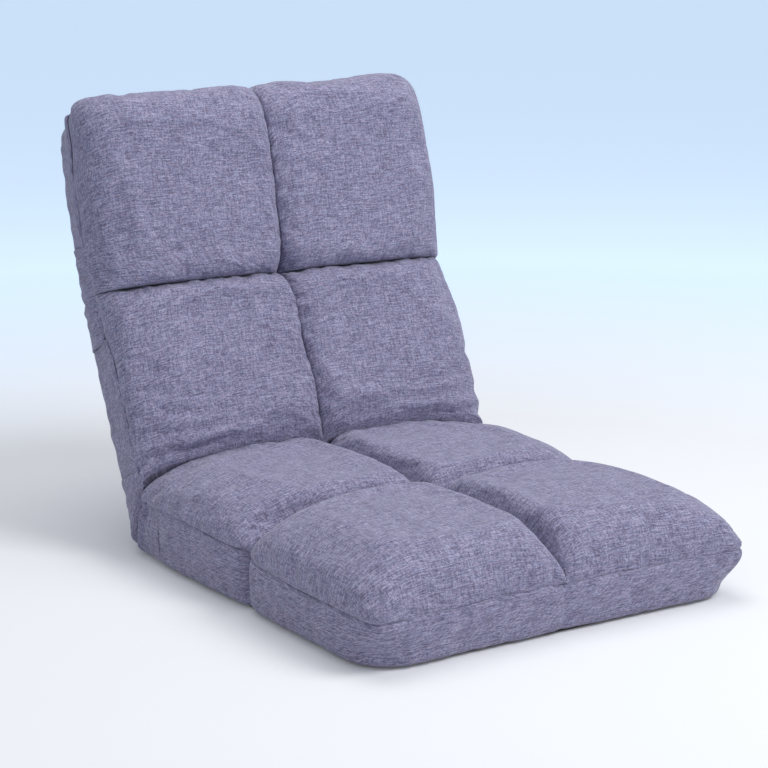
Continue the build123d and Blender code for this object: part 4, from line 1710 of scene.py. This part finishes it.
# ---- Cloth over the folds ----
@dataclass
class FoldCloth:
    """Belt of cloth over a fold: a gathered gusset at each side and a strip round the rear.

    Rows go round the fold from one section to the other. Each row runs from the left
    gusset's inner edge, out to the side, across the rear and back in on the right. A
    gusset point lies between an inner path by the cushions and an outer path round the
    rear, and pleats stand out along X, deepest where the inner path is shortest. The
    share goes from 0 on the first section to 1 on the other, and the drop from 0 on the
    inner path to 1 on the outer one.

    Fields:
        name: the piece's name.
        before, after: the sections that it joins.
        before_along: direction from the axis along the first section.
        axis: point on the hinge axis.
        seam_levels, contacts: seam level beside the fold, and angle of the pressed fold,
            on each section.
        spread: not used.
        corners, flares: lower corner as inward, high and foot inset, and how far the
            side stands out, on each section.
        pleats, pleat_depth: number and depth of the pleats.
        crease: depth of the crease where the cushions meet.
        seed: for its unevenness.
        rows: number of rows round the fold.
    """

    name: str
    before: Section
    after: Section
    before_along: Array
    axis: Array
    seam_levels: tuple
    contacts: tuple
    spread: float
    corners: tuple
    flares: tuple
    pleats: int = 9
    pleat_depth: float = 0.0060
    crease: float = 0.017
    seed: int = 5
    rows: int = 84

    def spot(self, along: Array, out: Array, length: float, level: float) -> Array:
        """Frame Y and Z of a point of one section."""
        return (self.axis + along * length + out * level)[1:]

    def paths(self) -> tuple[Array, Array]:
        """Paths round the fold: by the cushions, and round the rear.

        Returns:
            Inner and outer path, each (rows, 2) in frame Y and Z.
        """
        reach = FOLD_REACH + PANEL_LAP
        first = (self.before_along, self.before.out)
        last = (self.after.along, self.after.out)
        outer_stops = [self.spot(*first, reach, REAR_LEVEL)]
        first_angle = math.atan2(first[1][2], first[1][1])
        last_angle = math.atan2(last[1][2], last[1][1])
        for angle in np.linspace(first_angle, last_angle, 9):
            ray = np.array([math.cos(angle), math.sin(angle)])
            outer_stops.append(self.axis[1:] + REAR_LEVEL * ray)
        outer_stops.append(self.spot(*last, reach, REAR_LEVEL))
        inner_stops = [self.spot(*first, reach, self.seam_levels[0])]
        for frame_axes, level, contact in zip((first, last), self.seam_levels, self.contacts):
            inner_stops.append(self.spot(*frame_axes, level / math.tan(contact) + 0.004, level))
        inner_stops.append(self.spot(*last, reach, self.seam_levels[1]))
        return even_path(inner_stops, self.rows), even_path(outer_stops, self.rows)

    def outline(self, share: Array, depth: Array) -> tuple[Array, Array]:
        """Left half of each row: down the gusset, round its corner and across the rear.

        Args:
            share: share of each row, as a column.
            depth: distance between the inner and the outer path, as a column.

        Returns:
            Distance from the middle of the chair, and drop, of each point.
        """
        edge = HALF_WIDTH - PANEL_WALL
        inward, high, foot = (
            start + (end - start) * smooth_step(share) for start, end in zip(*self.corners)
        )
        radial = np.linspace(0, 1, 24)[None, :]
        turn = np.linspace(0, math.pi / 2, 9)[None, 1:]
        high = np.minimum(high / depth, 0.6)
        drop = np.concatenate([radial * (1 - high), 1 - high * (1 - np.sin(turn))], axis=1)
        inset = np.concatenate([0 * radial * share, inward * (1 - np.cos(turn))], axis=1)
        inset = inset + foot * smooth_step(drop * 0.9)
        flat = (edge - inset[:, -1:]) * np.linspace(1, 0, 42)[None, 1:]
        across = np.concatenate([edge - inset, flat], axis=1)
        return across, np.concatenate([drop, np.ones_like(flat)], axis=1)

    def gathered(self, across: Array, share: Array, drop: Array) -> Array:
        """Stands the gusset out in pleats and draws it in at the crease.

        A pleat is |sin|^0.6 of the share, and the crease falls away from the middle row
        as e^(-gap^1.3), with a low shoulder on each side.

        Args:
            across: distance from the middle of the chair.
            share: share of each row, as a column.
            drop: drop of each point.

        Returns:
            The new distance from the middle.
        """
        middle = np.exp(-(((share - 0.5) / 0.22) ** 2))
        gusset = np.clip((1 - drop) / 0.12, 0, 1)
        fan = self.pleats * (share + 0.015 * np.sin(9 * share) + 0.05 * drop * (share - 0.5))
        pleat = np.abs(np.sin(math.pi * fan)) ** 0.6 - 0.62
        across = across + gusset * (
            self.pleat_depth * middle * pleat * (1.15 - 0.8 * drop)
            + 0.0022 * np.sin(math.pi * np.clip(drop, 0, 1)) * (1 - 0.5 * middle)
            + 0.0008 * waves(share * 0.2, drop * 0.05, self.seed, 0.05, 0.02)
        )
        apart = np.abs(share - 0.5 + 0.03 * drop) / 0.5
        shoulder = 0.45 * np.exp(-(((apart - 0.17) / 0.09) ** 2))
        crease = np.exp(-((apart / 0.050) ** 1.3)) - shoulder
        across = across - gusset * self.crease * crease * (1 - 0.75 * drop)
        across = across - 0.007 * middle * np.exp(-drop / 0.15)
        for flare, gap in zip(self.flares, (share, 1 - share)):
            across = across + gusset * flare * (1 - smooth_step(gap / 0.32))
        return across

    def build(self, finish: bpy.types.Material) -> bpy.types.Object:
        """Makes the belt round the fold.

        Args:
            finish: the cloth.

        Returns:
            The piece, bound to no body.
        """
        inner, outer = self.paths()
        share = np.linspace(0, 1, self.rows)[:, None]
        across, drop = self.outline(share, np.linalg.norm(outer - inner, axis=-1)[:, None])
        path = inner[:, None] + drop[..., None] * (outer - inner)[:, None]
        across = self.gathered(across, share, drop)
        points = np.concatenate([across[..., None], path + 0 * across[..., None]], axis=-1)
        points = np.concatenate([points, points[:, -2::-1] * np.array([-1, 1, 1])], axis=1)
        rear = np.clip((np.concatenate([drop, drop[:, -2::-1]], axis=1) - 0.9) / 0.1, 0, 1)
        ripple = waves(points[..., 0] * 0.25, share * 0.22, self.seed + 3, 0.06, 0.02)
        outward = points - self.axis
        lift = surface_normals(points)
        lift = lift * np.sign(np.sum(lift * outward))
        points = points + lift * (0.0009 * (ripple - 1) * rear)[..., None]
        piece = sewn_sheet(self.name, points, outward, FOLD_WALL, 3.3)
        dress(piece, finish)
        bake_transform(piece)
        return piece


# ---- Rear and underside panels ----
@dataclass
class FlatPanel:
    """Rear or underside cloth of a section: a sheet with a slight belly.

    A point is on the section's rear plane, pushed out by belly * sin * cos of its two
    shares and by soft unevenness.

    Fields:
        name: the piece's name.
        section: its section.
        start, end: distances between which it lies, from the hinge axis.
        belly: how far its middle stands out.
        inset: how far its sides lie inside the side seams.
        corner: plan radius of its far corners.
        closing: how far its start and its end move past the ends of the zip.
        slot: not used.
        seed: for its unevenness.
    """

    name: str
    section: Section
    start: float
    end: float
    belly: float
    inset: float = 0.013
    corner: float = 0.0
    closing: tuple = (0.0, 0.0)
    slot: str = "cover_cloth"
    seed: int = 11

    def build(self, finish: bpy.types.Material) -> bpy.types.Object:
        """Makes the panel as a sheet with a wall.

        Args:
            finish: the cloth.

        Returns:
            The piece, bound to its section's body.
        """
        row_spacing, columns, closing_reach = 0.006, 84, 0.012
        half = HALF_WIDTH - self.inset
        rows = max(int((self.end - self.start) / row_spacing), 6)
        length = np.linspace(self.start, self.end, rows)[:, None]
        across = np.linspace(-half, half, columns)[None, :]
        if self.corner:
            size = self.corner
            two = np.clip((length - (self.end - size)) / size, 0, 1)
            squeeze = half - size + size * np.sqrt(np.clip(1 - two**2, 0, 1))
            across = across * squeeze / half
        share = (length - self.start) / (self.end - self.start)
        past_zip = np.abs(across) - ZIP_HALF_LENGTH + closing_reach
        sides = smooth_step(past_zip / closing_reach)
        length = length + sides * (self.closing[0] * (1 - share) + self.closing[1] * share)
        arch = np.sin(math.pi * share) * np.cos(math.pi * across / half / 2)
        relief = self.belly * arch
        if self.belly:
            relief = relief + 0.0007 * waves(across, length, self.seed, 0.15, 0.05) * arch
        level = REAR_LEVEL + PANEL_WALL - relief
        points = self.section.place(across + 0 * length, length + 0 * across, level + 0 * across)
        piece = sewn_sheet(self.name, points, -self.section.out, PANEL_WALL, 2.1)
        dress(piece, finish)
        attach(piece, self.section.body)
        return piece


# ---- Studio ----
def seen_directly(tree: NodeTree) -> bpy.types.NodeSocket:
    """1 for rays of the camera, of reflections and of transmission."""
    rays = tree.add("ShaderNodeLightPath").outputs
    looks = tree.math("MAXIMUM", rays["Is Camera Ray"], rays["Is Glossy Ray"])
    return tree.math("MAXIMUM", looks, rays["Is Transmission Ray"])


@dataclass(frozen=True)
class Lamp:
    """One soft square lamp.

    Fields:
        name: its name.
        place: where it hangs.
        aim: the point that it faces.
        size: its side.
        power: its power in watts.
    """

    name: str
    place: tuple
    aim: tuple
    size: float
    power: float

    def hang(self) -> None:
        """Adds the lamp to the scene."""
        data = bpy.data.lights.new(self.name, "AREA")
        data.shape = "SQUARE"
        data.size = self.size
        data.energy = self.power
        lamp = bpy.data.objects.new(self.name, data)
        lamp.location = self.place
        direction = Vector(self.aim) - Vector(self.place)
        lamp.rotation_euler = direction.to_track_quat("-Z", "Y").to_euler()
        bpy.context.scene.collection.objects.link(lamp)


@dataclass(frozen=True)
class Studio:
    """Camera at the photograph's place, soft lamps and a plain pale floor.

    Fields:
        eye, yaw, pitch: place and direction of the camera.
        focal_pixels, frame_pixels: focal length and width of the frame.
        sensor: width of the camera's sensor in millimetres.
        floor_colour, far_colour, floor_change: the floor's colours near and far off, and
            the distances between which it changes.
        floor_reach, floor_level: half of its width, and its level just under the chair.
        glow, glow_change: strength of its own glow near and far off; the glow grows with
            the distance divided by the first number, less the second.
        light_colour, light: colour and strength of the surroundings' light.
        sky_colour: how the surroundings look themselves.
        lamps: the lamps.
    """

    eye: tuple = (-1.4446, -2.0941, 0.793)
    yaw: float = math.radians(-33.34)
    pitch: float = math.radians(12.32)
    focal_pixels: float = 2176.0
    frame_pixels: float = 768.0
    sensor: float = 36.0
    floor_colour: tuple = (0.835, 0.845, 0.865)
    far_colour: tuple = (0.66, 0.81, 0.99)
    floor_change: tuple = (0.85, 2.25)
    floor_reach: float = 60.0
    floor_level: float = -0.0006
    glow: tuple = (0.08, 0.52)
    glow_change: tuple = (1.6, 0.53)
    light_colour: tuple = (0.88, 0.92, 1.0)
    light: float = 0.42
    sky_colour: tuple = (0.60, 0.745, 0.956)
    lamps: tuple = (
        Lamp("key", (1.2, -1.7, 2.4), (0.0, 0.1, 0.2), 1.5, 50.0),
        Lamp("fill", (-2.2, -1.2, 1.6), (0.0, 0.1, 0.2), 2.0, 6.0),
        Lamp("top", (0.1, 0.5, 2.6), (0.0, 0.1, 0.1), 1.6, 22.0)
    )

    def camera(self) -> None:
        """Places the camera with the photograph's view."""
        data = bpy.data.cameras.new("camera")
        data.sensor_width = self.sensor
        data.lens = self.focal_pixels / self.frame_pixels * self.sensor
        camera = bpy.data.objects.new("camera", data)
        camera.location = self.eye
        camera.rotation_euler = (math.pi / 2 - self.pitch, 0.0, self.yaw)
        bpy.context.scene.collection.objects.link(camera)
        bpy.context.scene.camera = camera

    def floor_paint(self) -> bpy.types.Material:
        """Paint that turns pale blue far off, with a little glow of its own colour.

        Only rays of the camera, of reflections and of transmission see the glow, so that
        the floor looks pale without more light on the chair, and keeps its shadow.

        Returns:
            The material.
        """
        tree = NodeTree.material("floor_paint")
        place = tree.add("ShaderNodeTexCoord").outputs["Object"]
        far = tree.add("ShaderNodeVectorMath", {0: place}, operation="LENGTH").outputs["Value"]
        near_end, far_end = (0.2 * radius for radius in self.floor_change)
        colour = tree.ramp(
            tree.math("MULTIPLY", far, 0.2), (near_end, self.floor_colour),
            (far_end, self.far_colour)
        )
        scale, start = self.glow_change
        share = tree.math("ADD", tree.math("MULTIPLY", far, 1 / scale), -start)
        share = tree.math("MINIMUM", tree.math("MAXIMUM", share, 0.0), 1.0)
        glow = tree.math("MULTIPLY", share, self.glow[1] - self.glow[0])
        glow = tree.math("ADD", glow, self.glow[0])
        tree.feed(
            tree.shader,
            {
                "Base Color": colour, "Emission Color": colour,
                "Emission Strength": tree.math("MULTIPLY", seen_directly(tree), glow),
                "Roughness": 0.95, "Specular IOR Level": 0.05
            },
        )
        return tree.owner

    def floor(self) -> None:
        """Lays a wide pale floor."""
        corners = np.array([(-1.0, -1.0, 0.0), (1.0, -1.0, 0.0), (1.0, 1.0, 0.0), (-1.0, 1.0, 0.0)])
        points = corners * self.floor_reach + [0.0, 0.0, self.floor_level]
        mesh = bpy.data.meshes.new("floor")
        mesh.from_pydata(points.tolist(), [], [(0, 1, 2, 3)])
        mesh.materials.append(self.floor_paint())
        floor = bpy.data.objects.new("floor", mesh)
        bpy.context.scene.collection.objects.link(floor)

    def world(self) -> None:
        """Even soft surroundings, which look pale blue themselves."""
        world = bpy.data.worlds.new("surroundings")
        tree = NodeTree(world)
        lit = tree.nodes["Background"]
        tree.feed(lit, {"Color": (*self.light_colour, 1), "Strength": self.light})
        shown = tree.add("ShaderNodeBackground", {"Color": (*self.sky_colour, 1)})
        shaders = {0: seen_directly(tree), 1: lit.outputs[0], 2: shown.outputs[0]}
        choice = tree.add("ShaderNodeMixShader", shaders)
        tree.feed(tree.nodes["World Output"], {"Surface": choice.outputs[0]})
        bpy.context.scene.world = world

    def build(self) -> None:
        """Sets up the whole studio."""
        self.camera()
        self.floor()
        self.world()
        for lamp in self.lamps:
            lamp.hang()
        bpy.context.scene.view_settings.view_transform = "Standard"


# ---- The chair ----
class FloorChair:
    """Builds the chair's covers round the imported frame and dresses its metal."""

    def __init__(self, finishes: Finishes) -> None:
        """Keeps the finishes and works out the bend spans at the waist and the head fold."""
        self.finishes = finishes
        self.waist_bend = fold_span(WAIST_AXIS, SEAT.along, BACK.along, WAIST_SPREAD)
        self.head_bend = fold_span(HEAD_AXIS, -BACK.along, HEAD.along, HEAD_SPREAD)

    def seat_cushions(self) -> None:
        """Two rear and two front seat cushions, sewn down in one channel."""
        waist_lip = fold_lip(
            0.0, WAIST_CONTACT, 0.092, 1, reach=0.040, fullness=2.1, tufted=0.1, cornered=1.2
        )
        rear_end = channel(SEAT_CHANNEL - SLIT, 0.056, 0.046, 2.3)
        front_start = channel(SEAT_CHANNEL + SLIT, 0.056, 0.046, 2.3)
        front_end = seam(SEAT_RIM, 0.098, 2.35, 0.002)
        rear_shape = {"crown": 0.094, "centre_reach": 0.034}
        front_shape = {"crown": 0.093, "centre_reach": 0.036, "pinch": 0.018}
        shape = {"dome": 0.006, "centre_drop": 0.042}
        for name, side, seed in (("left", 1, 21), ("right", -1, 22)):
            rear = CushionCover(
                f"seat_rear_{name}_cover", SEAT_RIM, side, waist_lip, rear_end, seed=seed, **shape,
                **rear_shape
            )
            piece = rear.build(self.finishes.cover)
            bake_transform(piece)
            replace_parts(piece, f"seat_rear_{name}_cushion")
            front = CushionCover(
                f"seat_front_{name}_cover", SEAT_RIM, side, front_start, front_end, seed=seed + 4,
                **shape, **front_shape
            )
            piece = front.build(self.finishes.cover)
            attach(piece, "seat")
            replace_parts(piece, f"seat_front_{name}_cushion", "seat_top_foam", "seat_bottom_foam")

    def back_cushions(self) -> None:
        """Two back cushions, each in a lower and an upper half that share one row."""
        contact = WAIST_ANGLE - WAIST_CONTACT
        foot = fold_lip(0.0, contact, 0.093, 1, reach=0.062, fullness=2.0, tufted=0.1, cornered=1.6)
        top = fold_lip(BACK_LENGTH, HEAD_CONTACT, 0.0575, -1, reach=0.030, fullness=2.1)
        for name, side, seed in (("left", 1, 31), ("right", -1, 32)):
            cover = CushionCover(
                f"back_{name}_cover", BACK_RIM, side, foot, top, centre_drop=0.015,
                centre_reach=0.030, tuft_drop=0.014, side_reach=0.078, corner_widening=0.040,
                tucks=0.0052, seed=seed
            )
            cut = cover.cut_row(BACK_CUT)
            lower = cover.build(self.finishes.cover, f"back_lower_{name}_cover", last=cut + 1)
            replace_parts(lower, f"back_{name}_cushion", "back_front_foam")
            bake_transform(lower)
            upper = cover.build(self.finishes.cover, f"back_upper_{name}_cover", first=cut)
            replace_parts(upper, "back_rear_foam")
            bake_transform(upper)

    def head_cushions(self) -> None:
        """Two cushions of the head section."""
        foot = fold_lip(0.0, HEAD_CONTACT, 0.066, 1, reach=0.030, fullness=2.3)
        top = seam(HEAD_RIM, 0.044, 2.1, 0.010)
        for name, side, seed in (("left", 1, 41), ("right", -1, 42)):
            cover = CushionCover(
                f"head_{name}_cover", HEAD_RIM, side, foot, top, centre_drop=0.017,
                centre_reach=0.040, tuft_drop=0.026, side_reach=0.066, corner_widening=0.020,
                pinch=0.0, seed=seed
            )
            piece = cover.build(self.finishes.cover)
            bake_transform(piece)
            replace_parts(piece, f"head_{name}_cushion", "head_front_foam", "head_rear_foam")

    def bands(self) -> None:
        """Side bands of the three sections."""
        finish = self.finishes.cover
        joins = ((-1, 0.425), (-1, 0.150), (1, 0.425))
        seat = SideBand("seat_band", SEAT_RIM, FOLD_REACH, SEAT_LENGTH, seed=51, joins=joins)
        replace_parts(seat.build(finish), "seat_side_band")
        rear_shape = {"under": REAR_EDGE[:2], "bow": 0.0, "foot_inset": REAR_EDGE[2]}
        head = SideBand(
            "head_band", HEAD_RIM, FOLD_REACH, HEAD_LENGTH, seed=52, foot_corner=0.05, **rear_shape
        )
        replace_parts(head.build(finish), "head_side_band")
        span = FOLD_REACH, BACK_LENGTH - FOLD_REACH
        for name, side in (("left", 1), ("right", -1)):
            back = SideBand(
                f"back_{name}_band", BACK_RIM, *span, side=side, seed=53 + side, **rear_shape
            )
            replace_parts(back.build(finish), "back_side_bands")

    def fold_cloths(self) -> None:
        """Cloth over the waist and the head fold."""
        waist = FoldCloth(
            "waist_cloth", SEAT, BACK, SEAT.along, WAIST_AXIS, (SEAT_RIM.high, BACK_RIM.high),
            (WAIST_CONTACT, WAIST_ANGLE - WAIST_CONTACT), GUSSET_SPREAD,
            corners=(SEAT_EDGE, REAR_EDGE), flares=(SEAT_RIM.flare(), BACK_RIM.flare())
        )
        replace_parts(waist.build(self.finishes.cover), "waist_wrap")
        head = FoldCloth(
            "head_cloth", BACK, HEAD, -BACK.along, HEAD_AXIS, (BACK_RIM.low, HEAD_RIM.high),
            (HEAD_CONTACT, HEAD_CONTACT), HEAD_GUSSET_SPREAD, corners=(REAR_EDGE, REAR_EDGE),
            flares=(BACK_RIM.flare(BACK_LENGTH - FOLD_REACH), HEAD_RIM.flare()), pleats=5,
            pleat_depth=0.0024, crease=0.006, seed=6
        )
        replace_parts(head.build(self.finishes.cover), "head_wrap")

    def panels(self) -> None:
        """Rear cloth of the back and head, and the underside lining."""
        finish = self.finishes.cover
        start = FOLD_REACH - PANEL_LAP
        far_margin, back_inset, closed = 0.013, 0.018, ZIP_SLOT + 0.0005
        low = FlatPanel(
            "back_rear_lower_panel", BACK, start, ZIP_PLACE - ZIP_SLOT, 0.001, inset=back_inset,
            closing=(0.0, closed)
        )
        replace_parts(low.build(finish), "back_rear_panel")
        upper = FlatPanel(
            "back_rear_upper_panel", BACK, ZIP_PLACE + ZIP_SLOT,
            BACK_LENGTH - FOLD_REACH + PANEL_LAP, 0.003, inset=back_inset, closing=(-closed, 0.0)
        )
        upper.build(finish)
        head = FlatPanel(
            "head_rear_cover", HEAD, start, HEAD_LENGTH - far_margin, 0.005, corner=0.040
        )
        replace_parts(head.build(finish), "head_rear_panel")
        under = FlatPanel(
            "seat_lining", SEAT, start, SEAT_LENGTH - far_margin, 0.0, corner=0.05, slot="lining"
        )
        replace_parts(under.build(self.finishes.lining), "seat_bottom_panel")

    def packed_nodes(self) -> None:
        """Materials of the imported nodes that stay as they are."""
        looks = (
            (("webbing",), self.finishes.webbing), (("tube",), self.finishes.tube),
            (("zip_tape",), self.finishes.tape), (("zip_slider",), self.finishes.zip_metal),
            (("cheek", "plate", "pawl", "rivets", "pins"), self.finishes.hinge)
        )
        for name, node in frame["nodes"].items():
            for words, finish in looks:
                if any(word in name for word in words):
                    dress_node(node, finish)
                    log.info("%s keeps its packed shape", name)
                    break

    def build(self) -> None:
        """Builds the whole chair in order."""
        self.seat_cushions()
        self.back_cushions()
        self.head_cushions()
        self.bands()
        self.fold_cloths()
        self.panels()
        self.packed_nodes()


def main() -> None:
    """Builds the studio and the chair."""
    logging.basicConfig(level=logging.INFO)
    Studio().build()
    FloorChair(Finishes()).build()


if __name__ == "__main__":
    main()
